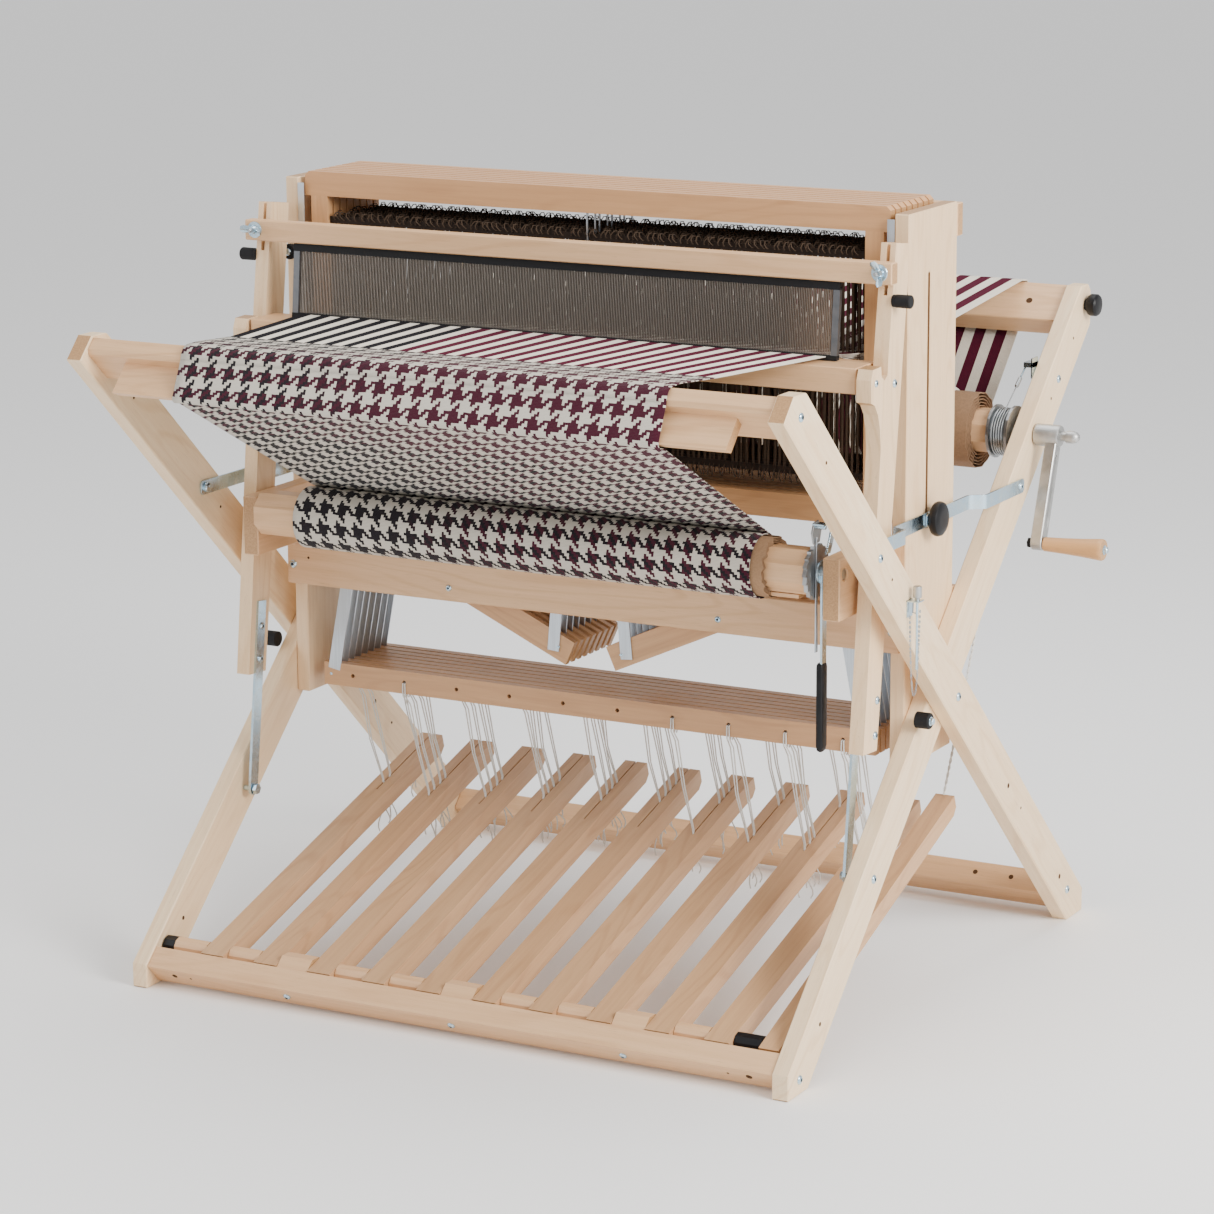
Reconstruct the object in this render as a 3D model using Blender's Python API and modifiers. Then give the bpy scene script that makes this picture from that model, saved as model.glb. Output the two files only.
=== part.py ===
"""Folding floor loom with eight shafts and ten treadles.

Two X-shaped side frames cross at a pivot low on an upright castle. The castle
holds the eight shafts, the lamms that pull them and the jacks that lift them.
Metres, +Z up, the weaver sits on the -Y side. Everything is laid out in loom
coordinates, whose origin is on the floor under the castle, and one root empty
moves it so that the middle of the bounding box is at X = Y = 0.
"""

import math

import bmesh
import bpy
from mathutils import Vector

# Castle: two upright side boards and the rails between them.
CASTLE_HALF_WIDTH = 0.508
BOARD = 0.022
CASTLE_FRONT = -0.082
CASTLE_BACK = 0.083
CASTLE_BOTTOM = 0.356
CASTLE_TOP = 1.145
CASTLE_INNER = CASTLE_HALF_WIDTH - BOARD
SLOT_Y = -0.011
SLOT_WIDTH = 0.010
SLOT_BOTTOM = 0.694
SLOT_TOP = 1.059
RAIL_THICKNESS = 0.0195
JACK_RAIL_BOTTOM = 0.529
JACK_RAIL_TOP = 0.589
TOP_RAIL_BOTTOM = 1.095
TOP_RAIL_TOP = 1.142

# Side frames: the breast legs run front-top to rear-bottom, the back legs cross them.
PIVOT_Y = -0.008
PIVOT_Z = 0.4525
LEG_TILT = math.radians(46.9)
LEG_WIDTH = 0.068
LEG_THICKNESS = 0.025
BACK_LEG_INNER = CASTLE_HALF_WIDTH + 0.0005
BACK_LEG_OUTER = BACK_LEG_INNER + LEG_THICKNESS
BREAST_LEG_INNER = BACK_LEG_OUTER + 0.0005
BREAST_LEG_OUTER = BREAST_LEG_INNER + LEG_THICKNESS
FOOT_CUT = 0.495
LEG_HEAD = 0.747
LEG_HEAD_Z = 0.9695
LEG_HEAD_ROUND = 0.013
BACK_HEAD_CUT = 0.534

# Points along a leg, measured from the pivot, up positive.
BRACE_BOLT = 0.372
WARP_BEAM_ALONG = 0.462
WARP_BEAM_OFFSET = 0.008

# Treadles.
TREADLE_COUNT = 10
TREADLE_PITCH = 0.0914
TREADLE_WIDTH = 0.038
TREADLE_DEPTH = 0.028
TREADLE_LENGTH = 0.632
TREADLE_FRONT = 0.024
TREADLE_SLOPE = math.radians(16.3)
TREADLE_ROD_Y = -0.449
TREADLE_ROD_Z = 0.052
TREADLE_ROD_RADIUS = 0.004
TREADLE_NOSE = 0.0158
SPACER_RADIUS = 0.0152
BUSH_RIGHT = -0.486
BRAKE_X = 0.4885
BRAKE_WIDTH = 0.030
BRAKE_LENGTH = 0.602
BRAKE_FRONT = 0.020
BRAKE_SLOPE = math.radians(19.8)
TIE_SLOT_WIDTH = 0.002
TIE_SLOT_LENGTH = 0.185
TIE_SLOT_END = -0.010

# Shafts, lamms and jacks: eight of each, one behind the other.
SHAFT_COUNT = 8
SHAFT_PITCH = 0.0188
SHAFT_THICKNESS = 0.0145
FIRST_SHAFT_FACE = -0.0765
SHAFT_HALF_WIDTH = 0.477
STILE_OUTER = 0.467
STILE_INNER = 0.439
SHAFT_BOTTOM = 0.701
SHAFT_TOP = 1.154
SHAFT_RAIL = 0.036
LAMM_HALF_WIDTH = 0.462
LAMM_BOTTOM = 0.370
LAMM_HEIGHT = 0.035
LAMM_HOLE_RADIUS = 0.0035
JACK_TIP_X = 0.034
JACK_PIN_X = 0.053
JACK_PIN_Z = 0.472
JACK_PIVOT_X = 0.224
JACK_SLOPE = math.radians(24.3)
JACK_WIDTH = 0.038
JACK_REACH = 0.205
JACK_THICKNESS = 0.010
JACK_ROD_RADIUS = 0.0045

# Beater, hung from the back legs by two straps.
BEATER_SIDE_OUTER = 0.516
BEATER_SIDE_INNER = 0.494
BEATER_PIVOT_Y = -0.235
BEATER_PIVOT_Z = 0.239
STRAP_THICKNESS = 0.004
STRAP_HALF_WIDTH = 0.010
STRAP_TOP = 0.522
REED_HALF_WIDTH = 0.443
REED_FOOT = (-0.1700, 0.9505)
REED_HEAD = (-0.1595, 1.0590)
REED_THICKNESS = 0.010
REED_BAND = 0.011
REED_WEB = 0.0025
SIDE_SLOT_WIDTH = 0.006
SIDE_SLOT_BOTTOM = 1.043

# Beams and rolls.
BEAM_FLAT = 0.062
CLOTH_BEAM_Y = -0.235
CLOTH_BEAM_Z = 0.668
CLOTH_BEAM_LEFT = -0.4580
CLOTH_BEAM_RIGHT = 0.4400
ARM_INNER = 0.4605
ARM_FRONT = -0.252
ARM_BOTTOM = 0.604
ARM_TOP = 0.692
RATCHET_TEETH = 20
RATCHET_RADIUS = 0.0395
RATCHET_THICKNESS = 0.006
JOURNAL_RADIUS = 0.008
CLOTH_ROLL_RADIUS = 0.045
ROLL_BORE = 0.0345
CLOTH_ROLL_LEFT = -0.382
CLOTH_ROLL_RIGHT = 0.366
WARP_ROLL_RADIUS = 0.060
WARP_ROLL_LEFT = -0.446
WARP_ROLL_RIGHT = 0.448
DRUM_LEFT = 0.470
DRUM_RIGHT = 0.503
DRUM_RADIUS = 0.040

# Crank.
CRANK_HUB_RADIUS = 0.0165
CRANK_HUB_RIGHT = 0.5745
CRANK_STUB_RIGHT = 0.603
CRANK_ARM_X = 0.563
CRANK_ARM_THICKNESS = 0.013
CRANK_REACH = 0.161
CRANK_SWING = math.radians(19.5)
CRANK_GRIP_RIGHT = 0.668

# Braces between the legs and the slots of the castle.
STRIP = 0.003
BRACE_WIDTH = 0.021
KNOB_Z = 0.708
KNOB_RADIUS = 0.026

GAP = 0.0005
EDGE = 0.0015
ROUND_SIDES = 16

SIDE_PLANE = (math.radians(90), 0.0, math.radians(90))
FRONT_PLANE = (math.radians(90), 0.0, 0.0)
ALONG_X = (0.0, math.radians(90), 0.0)
ALONG_Y = (math.radians(90), 0.0, 0.0)

# The crank grip reaches furthest right, the breast slat and the back legs furthest fore and aft.
BOX_MIDDLE_X = (CRANK_GRIP_RIGHT + 0.006 - BREAST_LEG_OUTER) / 2
BOX_MIDDLE_Y = -0.02385


def clear_scene():
    for thing in list(bpy.data.objects):
        bpy.data.objects.remove(thing, do_unlink=True)


def new_collection(name):
    collection = bpy.data.collections.new(name)
    bpy.context.scene.collection.children.link(collection)
    return collection


def principled(name, colour, roughness, metallic=0.0):
    material = bpy.data.materials.new(name)
    material.use_nodes = True
    shader = material.node_tree.nodes["Principled BSDF"]
    shader.inputs["Base Color"].default_value = (*colour, 1.0)
    shader.inputs["Roughness"].default_value = roughness
    shader.inputs["Metallic"].default_value = metallic
    material.diffuse_color = (*colour, 1.0)
    return material


clear_scene()
PARTS = new_collection("loom")
CUTTERS = new_collection("cutters")

MAPLE = principled("maple", (0.80, 0.64, 0.47), 0.5)
MAPLE_SHADE = principled("maple_shaft", (0.72, 0.55, 0.39), 0.5)
STEEL = principled("zinc_steel", (0.66, 0.69, 0.72), 0.35, 1.0)
CAST = principled("cast_aluminium", (0.60, 0.59, 0.57), 0.45, 1.0)
REED_STEEL = principled("reed_steel", (0.45, 0.42, 0.39), 0.4, 1.0)
BLACK = principled("black_plastic", (0.02, 0.02, 0.02), 0.4)
CLOTH = principled("houndstooth_cloth", (0.60, 0.56, 0.52), 0.95)
WARP = principled("wound_warp", (0.62, 0.56, 0.50), 0.95)


def empty(name, location, parent=None):
    """A guide that carries a moving group; its place is its joint's axis."""
    guide = bpy.data.objects.new(name, None)
    PARTS.objects.link(guide)
    guide.hide_render = True
    guide["place"] = location
    origin = Vector(parent["place"]) if parent else Vector((0.0, 0.0, 0.0))
    guide.parent = parent
    guide.location = Vector(location) - origin
    return guide


def attach(piece, guide):
    """Parent a piece that is placed in loom coordinates, and its cutters, to a guide."""
    piece.location = Vector(piece.location) - Vector(guide["place"])
    piece.parent = guide
    for step in piece.modifiers:
        if step.type == 'BOOLEAN':
            attach(step.object, guide)
    return piece


def put_in(piece, collection):
    for owner in list(piece.users_collection):
        owner.objects.unlink(piece)
    collection.objects.link(piece)
    if collection is CUTTERS:
        piece.hide_render = True
        piece.display_type = 'WIRE'


def curve_to_mesh(piece):
    """Swap an extruded curve for its welded mesh, so that a Boolean can use it."""
    bpy.context.view_layer.update()
    evaluated = piece.evaluated_get(bpy.context.evaluated_depsgraph_get())
    mesh = bpy.data.meshes.new_from_object(evaluated)
    work = bmesh.new()
    work.from_mesh(mesh)
    bmesh.ops.remove_doubles(work, verts=work.verts, dist=0.00001)
    work.to_mesh(mesh)
    work.free()
    name = piece.name
    matrix = piece.matrix_world.copy()
    material = piece.data.materials[0] if piece.data.materials else None
    owner = piece.users_collection[0]
    bpy.data.objects.remove(piece, do_unlink=True)
    solid = bpy.data.objects.new(name, mesh)
    owner.objects.link(solid)
    solid.matrix_world = matrix
    if material and not mesh.materials:
        mesh.materials.append(material)
    if owner is CUTTERS:
        solid.hide_render = True
        solid.display_type = 'WIRE'
    return solid


def plate(name, outline, thickness, centre, turn, material, holes=(), collection=None, edge=0.0):
    """A flat outline, with any holes, extruded on both sides of its own plane."""
    curve = bpy.data.curves.new(name, 'CURVE')
    curve.dimensions = '2D'
    curve.fill_mode = 'BOTH'
    curve.extrude = thickness / 2
    for ring in (outline, *holes):
        spline = curve.splines.new('POLY')
        spline.points.add(len(ring) - 1)
        for point, (u, v) in zip(spline.points, ring):
            point.co = (u, v, 0.0, 1.0)
        spline.use_cyclic_u = True
    curve.materials.append(material)
    piece = bpy.data.objects.new(name, curve)
    (collection or PARTS).objects.link(piece)
    piece.location = centre
    piece.rotation_euler = turn
    piece = curve_to_mesh(piece)
    if edge:
        add_edge(piece, edge)
    return piece


def add_edge(piece, width):
    bevel = piece.modifiers.new("edges", 'BEVEL')
    bevel.width = width
    bevel.segments = 1
    bevel.limit_method = 'ANGLE'
    bevel.angle_limit = math.radians(50)
    return piece


def block(name, low, high, material, collection=None, edge=0.0):
    """A box between two corners."""
    low, high = Vector(low), Vector(high)
    bpy.ops.mesh.primitive_cube_add(size=1, location=(low + high) / 2)
    piece = bpy.context.object
    piece.name = name
    for vertex in piece.data.vertices:
        vertex.co = Vector(a * b for a, b in zip(vertex.co, high - low))
    piece.data.materials.append(material)
    put_in(piece, collection or PARTS)
    if edge:
        add_edge(piece, edge)
    return piece


def rod(name, centre, radius, length, turn, material, collection=None, sides=ROUND_SIDES, tip=None):
    """A cylinder, or a taper whose far end has the radius tip."""
    bpy.ops.mesh.primitive_cone_add(vertices=sides, radius1=radius, radius2=tip or radius,
                                    depth=length, location=centre, rotation=turn)
    piece = bpy.context.object
    piece.name = name
    piece.data.materials.append(material)
    put_in(piece, collection or PARTS)
    return piece


def boolean(piece, cutter, operation):
    step = piece.modifiers.new(operation.lower(), 'BOOLEAN')
    step.operation = operation
    step.solver = 'EXACT'
    step.object = cutter
    return piece


def circle(u, v, radius, sides=ROUND_SIDES, start=0.0):
    steps = (start + 2 * math.pi * k / sides for k in range(sides))
    return [(u + radius * math.cos(t), v + radius * math.sin(t)) for t in steps]


def fillet(before, corner, after, radius, steps=3):
    """Points of the arc that rounds one corner of an outline."""
    corner = Vector(corner)
    one = (Vector(before) - corner).normalized()
    two = (Vector(after) - corner).normalized()
    half = one.angle(two) / 2
    middle = corner + (one + two).normalized() * radius / math.sin(half)
    start = corner + one * radius / math.tan(half) - middle
    stop = corner + two * radius / math.tan(half) - middle
    return [tuple(middle + start.lerp(stop, k / steps).normalized() * radius) for k in range(steps + 1)]


def on_breast_leg(along, across=0.0):
    """(y, z) of a point on a breast leg; across is positive towards its upper edge."""
    y = PIVOT_Y - along * math.sin(LEG_TILT) + across * math.cos(LEG_TILT)
    return y, PIVOT_Z + along * math.cos(LEG_TILT) + across * math.sin(LEG_TILT)


def on_back_leg(along, across=0.0):
    """(y, z) of a point on a back leg; across is positive towards its upper edge."""
    y = PIVOT_Y + along * math.sin(LEG_TILT) - across * math.cos(LEG_TILT)
    return y, PIVOT_Z + along * math.cos(LEG_TILT) + across * math.sin(LEG_TILT)


def along_at_height(height, across):
    """How far along a leg its edge line reaches a height."""
    return (height - PIVOT_Z - across * math.sin(LEG_TILT)) / math.cos(LEG_TILT)


def castle():
    root = empty("castle_frame", (0.0, 0.0, 0.0), ROOT)
    side = [(CASTLE_FRONT, CASTLE_BOTTOM), (CASTLE_BACK, CASTLE_BOTTOM),
            (CASTLE_BACK, CASTLE_TOP), (CASTLE_FRONT, CASTLE_TOP)]
    half = SLOT_WIDTH / 2
    slot = [(SLOT_Y - half, SLOT_BOTTOM), (SLOT_Y + half, SLOT_BOTTOM),
            (SLOT_Y + half, SLOT_TOP - half), (SLOT_Y, SLOT_TOP), (SLOT_Y - half, SLOT_TOP - half)]
    for name, sign in (("left", -1), ("right", 1)):
        centre = (sign * (CASTLE_HALF_WIDTH - BOARD / 2), 0.0, 0.0)
        attach(plate(f"castle_side_{name}", side, BOARD, centre, SIDE_PLANE, MAPLE,
                     holes=(slot,), edge=EDGE), root)
        cloth_arm(name, sign, root)
    rails = (("castle_front_rail", CASTLE_FRONT - GAP - RAIL_THICKNESS, JACK_RAIL_BOTTOM, JACK_RAIL_TOP),
             ("castle_back_rail_low", CASTLE_BACK + GAP, JACK_RAIL_BOTTOM, JACK_RAIL_TOP),
             ("castle_back_rail_top", CASTLE_BACK + GAP, TOP_RAIL_BOTTOM, TOP_RAIL_TOP))
    for name, front, bottom, top in rails:
        attach(block(name, (-CASTLE_HALF_WIDTH, front, bottom),
                     (CASTLE_HALF_WIDTH, front + RAIL_THICKNESS, top), MAPLE, edge=EDGE), root)


def cloth_arm(name, sign, root):
    """One of the arms that carry the cloth beam in front of the castle."""
    back = CASTLE_FRONT - GAP
    outline = [(ARM_FRONT, ARM_BOTTOM), (back, ARM_BOTTOM), (back, ARM_TOP), (ARM_FRONT, ARM_TOP)]
    bore = circle(CLOTH_BEAM_Y, CLOTH_BEAM_Z, JOURNAL_RADIUS + GAP)
    thickness = CASTLE_INNER - ARM_INNER
    centre = (sign * (ARM_INNER + thickness / 2), 0.0, 0.0)
    attach(plate(f"cloth_arm_{name}", outline, thickness, centre, SIDE_PLANE, MAPLE,
                 holes=(bore,), edge=EDGE), root)


def breast_frame():
    """Breast legs, breast beam and rear foot rail: the frame that the fold joint turns."""
    pivot = empty("breast_frame", (0.0, PIVOT_Y, PIVOT_Z), ROOT)
    half = LEG_WIDTH / 2
    rear = 2 * PIVOT_Y + FOOT_CUT + 0.008
    low, high = -half, half
    foot_rise = along_at_height(0.0, high)
    foot_top = (rear, on_breast_leg(foot_rise, high)[1] + 0.036)
    shoulder = on_breast_leg(along_at_height(LEG_HEAD_Z, high), high)
    brow = (on_breast_leg(LEG_HEAD, 0.009)[0], LEG_HEAD_Z)
    outline = [on_breast_leg(along_at_height(0.0, low), low), (rear, 0.0), foot_top]
    outline += fillet(foot_top, shoulder, brow, LEG_HEAD_ROUND)
    outline += [brow, on_breast_leg(LEG_HEAD, low)]
    for name, sign in (("left", -1), ("right", 1)):
        centre = (sign * (BREAST_LEG_INNER + LEG_THICKNESS / 2), 0.0, 0.0)
        attach(plate(f"breast_leg_{name}", outline, LEG_THICKNESS, centre, SIDE_PLANE, MAPLE,
                     edge=EDGE), pivot)
    span = 2 * (BREAST_LEG_INNER - GAP)
    beam = [on_breast_leg(0.680, -0.016), on_breast_leg(0.680, 0.018), on_breast_leg(0.726, 0.018),
            on_breast_leg(0.7435, 0.009), on_breast_leg(0.7435, -0.010), on_breast_leg(0.738, -0.016)]
    beam_piece = plate("breast_beam", beam, span, (0.0, 0.0, 0.0), SIDE_PLANE, MAPLE)
    slat = [on_breast_leg(0.708, -0.015), on_breast_leg(0.708, -0.060),
            on_breast_leg(0.724, -0.066), on_breast_leg(0.724, -0.015)]
    slat_piece = plate("breast_slat_joined", slat, 0.956, (0.0, 0.0, 0.0), SIDE_PLANE, MAPLE,
                       collection=CUTTERS)
    boolean(beam_piece, slat_piece, 'UNION')
    attach(beam_piece, pivot)
    rail = [on_breast_leg(-0.646, -0.008), on_breast_leg(-0.646, 0.031),
            on_breast_leg(-0.600, 0.031), on_breast_leg(-0.600, -0.008)]
    attach(plate("rear_foot_rail", rail, span, (0.0, 0.0, 0.0), SIDE_PLANE, MAPLE, edge=EDGE), pivot)
    return pivot


def back_frame():
    """Back legs, back beam and front foot rail with the treadles' rod."""
    pivot = empty("back_frame", (0.0, PIVOT_Y, PIVOT_Z), ROOT)
    half = LEG_WIDTH / 2
    front = PIVOT_Y - FOOT_CUT
    outline = [
        (front, 0.0),
        on_back_leg(along_at_height(0.0, -half), -half),
        (BACK_HEAD_CUT, on_back_leg(0.704, -half)[1]),
        (BACK_HEAD_CUT, 0.960),
        (BACK_HEAD_CUT - 0.010, 0.971),
        on_back_leg(along_at_height(0.971, half), half),
        (front, on_back_leg(along_at_height(0.0, half), half)[1] + 0.036),
    ]
    bore = circle(*on_back_leg(WARP_BEAM_ALONG, WARP_BEAM_OFFSET), JOURNAL_RADIUS + GAP)
    for name, sign in (("left", -1), ("right", 1)):
        centre = (sign * (BACK_LEG_INNER + LEG_THICKNESS / 2), 0.0, 0.0)
        attach(plate(f"back_leg_{name}", outline, LEG_THICKNESS, centre, SIDE_PLANE, MAPLE,
                     holes=(bore,), edge=EDGE), pivot)
    span = 2 * (BACK_LEG_INNER - GAP)
    beam = [on_back_leg(0.660, -0.008), on_back_leg(0.732, -0.008), on_back_leg(0.737, 0.004),
            on_back_leg(0.730, 0.026), on_back_leg(0.660, 0.026)]
    attach(plate("back_beam", beam, span, (0.0, 0.0, 0.0), SIDE_PLANE, MAPLE, edge=EDGE), pivot)
    attach(front_foot_rail(span), pivot)
    return pivot


def front_foot_rail(span):
    rail = [on_back_leg(-0.646, -0.008), on_back_leg(-0.612, -0.008),
            on_back_leg(-0.612, 0.031), on_back_leg(-0.646, 0.031)]
    piece = plate("front_foot_rail", rail, span, (0.0, 0.0, 0.0), SIDE_PLANE, MAPLE)
    bracket_width = TREADLE_PITCH - TREADLE_WIDTH - 0.002
    centre = (TREADLE_ROD_Y, TREADLE_ROD_Z)
    cheek = [on_back_leg(-0.613, -0.006), (centre[0] + 0.004, centre[1] - 0.016),
             (centre[0] + 0.016, centre[1] - 0.006), (centre[0] + 0.016, centre[1] + 0.010),
             (centre[0] + 0.008, centre[1] + 0.0175), (centre[0] - 0.010, centre[1] + 0.0175),
             on_back_leg(-0.613, 0.0295)]
    for k, x in enumerate((-3 * TREADLE_PITCH, 0.0, 3 * TREADLE_PITCH)):
        boolean(piece, plate(f"treadle_bracket_joined_{k + 1}", cheek, bracket_width, (x, 0.0, 0.0),
                             SIDE_PLANE, MAPLE, collection=CUTTERS), 'UNION')
    boolean(piece, treadle_rod(span), 'UNION')
    return piece


def treadle_rod(span):
    """The rod that the treadles turn on, with the spacers between them, as one turned profile."""
    spaced = (-4, -2, -1, 1, 2, 4)
    runs = [(-span / 2 + 0.002, BUSH_RIGHT - GAP),
            (BUSH_RIGHT, -4.5 * TREADLE_PITCH - TREADLE_WIDTH / 2 - 0.001)]
    width = TREADLE_PITCH - TREADLE_WIDTH - 0.002
    runs += [(k * TREADLE_PITCH - width / 2, k * TREADLE_PITCH + width / 2) for k in spaced]
    runs += [(4.5 * TREADLE_PITCH + TREADLE_WIDTH / 2 + 0.001, BRAKE_X - BRAKE_WIDTH / 2 - 0.001)]
    end = span / 2 - 0.001
    profile = [(-end, 0.0), (-end, TREADLE_ROD_RADIUS)]
    for left, right in runs:
        profile += [(left, TREADLE_ROD_RADIUS), (left, SPACER_RADIUS),
                    (right, SPACER_RADIUS), (right, TREADLE_ROD_RADIUS)]
    profile += [(end, TREADLE_ROD_RADIUS), (end, 0.0)]
    mesh = bpy.data.meshes.new("treadle_rod_joined")
    mesh.from_pydata([(x, 0.0, r) for x, r in profile],
                     [(k, k + 1) for k in range(len(profile) - 1)], [])
    piece = bpy.data.objects.new("treadle_rod_joined", mesh)
    put_in(piece, CUTTERS)
    piece.location = (0.0, TREADLE_ROD_Y, TREADLE_ROD_Z)
    turn = piece.modifiers.new("turn", 'SCREW')
    turn.axis = 'X'
    turn.steps = 10
    turn.render_steps = 10
    turn.use_merge_vertices = True
    turn.merge_threshold = 0.00001
    return piece


def treadle(name, x, width, front, length, slope):
    """A foot lever: rounded under its nose, slotted lengthwise near its tail."""
    half = TREADLE_DEPTH / 2
    lean = math.pi / 2 - LEG_TILT - slope
    outline = [(length, -half + 0.008), (length, half), (-front, half)]
    steps = 4
    start = math.pi + lean
    stop = 1.5 * math.pi - 0.48
    for k in range(steps + 1):
        t = start + (stop - start) * k / steps
        outline.append((TREADLE_NOSE * math.cos(t), TREADLE_NOSE * math.sin(t)))
    outline += [(-0.004, -half), (length - 0.012, -half)]
    bore = circle(0.0, 0.0, TREADLE_ROD_RADIUS + 0.0006, sides=10)
    turn = (math.radians(90), -slope, math.radians(90))
    return plate(name, outline, width, (x, TREADLE_ROD_Y, TREADLE_ROD_Z), turn, MAPLE, holes=(bore,))


def treadles(back_pivot):
    for k in range(TREADLE_COUNT):
        x = (k - (TREADLE_COUNT - 1) / 2) * TREADLE_PITCH
        guide = empty(f"treadle_axis_{k + 1}", (x, TREADLE_ROD_Y, TREADLE_ROD_Z), back_pivot)
        piece = treadle(f"treadle_{k + 1}", x, TREADLE_WIDTH, TREADLE_FRONT, TREADLE_LENGTH,
                        TREADLE_SLOPE)
        slot = block(f"tie_slot_{k + 1}", (-TIE_SLOT_LENGTH / 2, -0.03, -TIE_SLOT_WIDTH / 2),
                     (TIE_SLOT_LENGTH / 2, 0.03, TIE_SLOT_WIDTH / 2), MAPLE, collection=CUTTERS)
        slot.rotation_euler = piece.rotation_euler
        middle = TREADLE_LENGTH - TIE_SLOT_END - TIE_SLOT_LENGTH / 2
        slot.location = (x, TREADLE_ROD_Y + middle * math.cos(TREADLE_SLOPE),
                         TREADLE_ROD_Z + middle * math.sin(TREADLE_SLOPE))
        boolean(piece, slot, 'DIFFERENCE')
        attach(piece, guide)
    guide = empty("brake_treadle_axis", (BRAKE_X, TREADLE_ROD_Y, TREADLE_ROD_Z), back_pivot)
    attach(treadle("brake_treadle", BRAKE_X, BRAKE_WIDTH, BRAKE_FRONT, BRAKE_LENGTH, BRAKE_SLOPE), guide)


def shafts_and_lamms():
    corner = 0.006
    outline = [(STILE_OUTER, SHAFT_BOTTOM), (STILE_OUTER, SHAFT_TOP - SHAFT_RAIL),
               (SHAFT_HALF_WIDTH, SHAFT_TOP - SHAFT_RAIL), (SHAFT_HALF_WIDTH, SHAFT_TOP - corner),
               (SHAFT_HALF_WIDTH - corner, SHAFT_TOP)]
    outline += [(-u, v) for u, v in reversed(outline)]
    opening = [(-STILE_INNER, SHAFT_BOTTOM + SHAFT_RAIL), (STILE_INNER, SHAFT_BOTTOM + SHAFT_RAIL),
               (STILE_INNER, SHAFT_TOP - SHAFT_RAIL), (-STILE_INNER, SHAFT_TOP - SHAFT_RAIL)]
    half_height = LAMM_HEIGHT / 2
    lamm = [(-LAMM_HALF_WIDTH, -half_height), (LAMM_HALF_WIDTH, -half_height),
            (LAMM_HALF_WIDTH, half_height), (-LAMM_HALF_WIDTH, half_height)]
    holes = [circle((k - (TREADLE_COUNT - 1) / 2) * TREADLE_PITCH, 0.0, LAMM_HOLE_RADIUS, sides=6)
             for k in range(TREADLE_COUNT)]
    for k in range(SHAFT_COUNT):
        middle = FIRST_SHAFT_FACE + k * SHAFT_PITCH + SHAFT_THICKNESS / 2
        guide = empty(f"shaft_slide_{k + 1}", (0.0, middle, SHAFT_BOTTOM), ROOT)
        attach(plate(f"shaft_{k + 1}", outline, SHAFT_THICKNESS, (0.0, middle, 0.0), FRONT_PLANE,
                     MAPLE_SHADE, holes=(opening,)), guide)
        guide = empty(f"lamm_slide_{k + 1}", (0.0, middle, LAMM_BOTTOM + half_height), ROOT)
        attach(plate(f"lamm_{k + 1}", lamm, SHAFT_THICKNESS, (0.0, middle, LAMM_BOTTOM + half_height),
                     FRONT_PLANE, MAPLE_SHADE, holes=holes), guide)


def jack_banks():
    """Eight lifting levers a side on one rod; the inner ends lift the shafts."""
    half = JACK_WIDTH / 2
    tip = (JACK_PIVOT_X - JACK_TIP_X) / math.cos(JACK_SLOPE)
    outline = [(-tip, -half), (JACK_REACH, -half), (JACK_REACH, half), (-tip, half)]
    pivot_z = JACK_PIN_Z + (JACK_PIVOT_X - JACK_PIN_X) * math.tan(JACK_SLOPE)
    rod_length = CASTLE_BACK - CASTLE_FRONT - 0.004
    for name, sign in (("left", -1), ("right", 1)):
        place = (sign * JACK_PIVOT_X, (CASTLE_FRONT + CASTLE_BACK) / 2, pivot_z)
        guide = empty(f"jack_axis_{name}", place, ROOT)
        bank = rod(f"jack_bank_{name}", place, JACK_ROD_RADIUS, rod_length, ALONG_Y, MAPLE_SHADE, sides=12)
        shape = [(sign * u, v) for u, v in outline][::sign]
        for k in range(SHAFT_COUNT):
            middle = FIRST_SHAFT_FACE + k * SHAFT_PITCH + SHAFT_THICKNESS / 2
            turn = (math.radians(90), -sign * JACK_SLOPE, 0.0)
            lever = plate(f"jack_{name}_{k + 1}_joined", shape, JACK_THICKNESS,
                          (place[0], middle, place[2]), turn, MAPLE_SHADE, collection=CUTTERS)
            boolean(bank, lever, 'UNION')
        attach(bank, guide)


def beater_side_outline():
    notch = [(-0.165, 0.958), (-0.167, 0.936), (-0.176, 0.930), (-0.186, 0.936), (-0.188, 0.951)]
    bulge = [(-0.214, 0.950), (-0.220, 0.936), (-0.220, 0.905)]
    bend = 4
    for k in range(1, bend + 1):
        t = math.radians(90) * k / bend
        bulge.append((-0.220 + 0.033 * math.sin(t), 0.905 - 0.068 * (1 - math.cos(t))))
    lower = [(-0.188, 0.822), (-0.235, 0.415), (-0.190, 0.412)]
    upper = [(-0.096, 1.108), (-0.143, 1.114)]
    return (notch + bulge + lower + upper)[::-1]


def reed_outline():
    """The reed's section: a thin web between two thicker bands, leaning with the beater."""
    foot, head = Vector(REED_FOOT), Vector(REED_HEAD)
    rise = (head - foot) * REED_BAND / (head.y - foot.y)
    band, web = Vector((REED_THICKNESS / 2, 0.0)), Vector((REED_WEB / 2, 0.0))
    back = [foot + band, foot + rise + band, foot + rise + web,
            head - rise + web, head - rise + band, head + band]
    front = [head - band, head - rise - band, head - rise - web,
             foot + rise - web, foot + rise - band, foot - band]
    return [tuple(point) for point in back + front]


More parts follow.
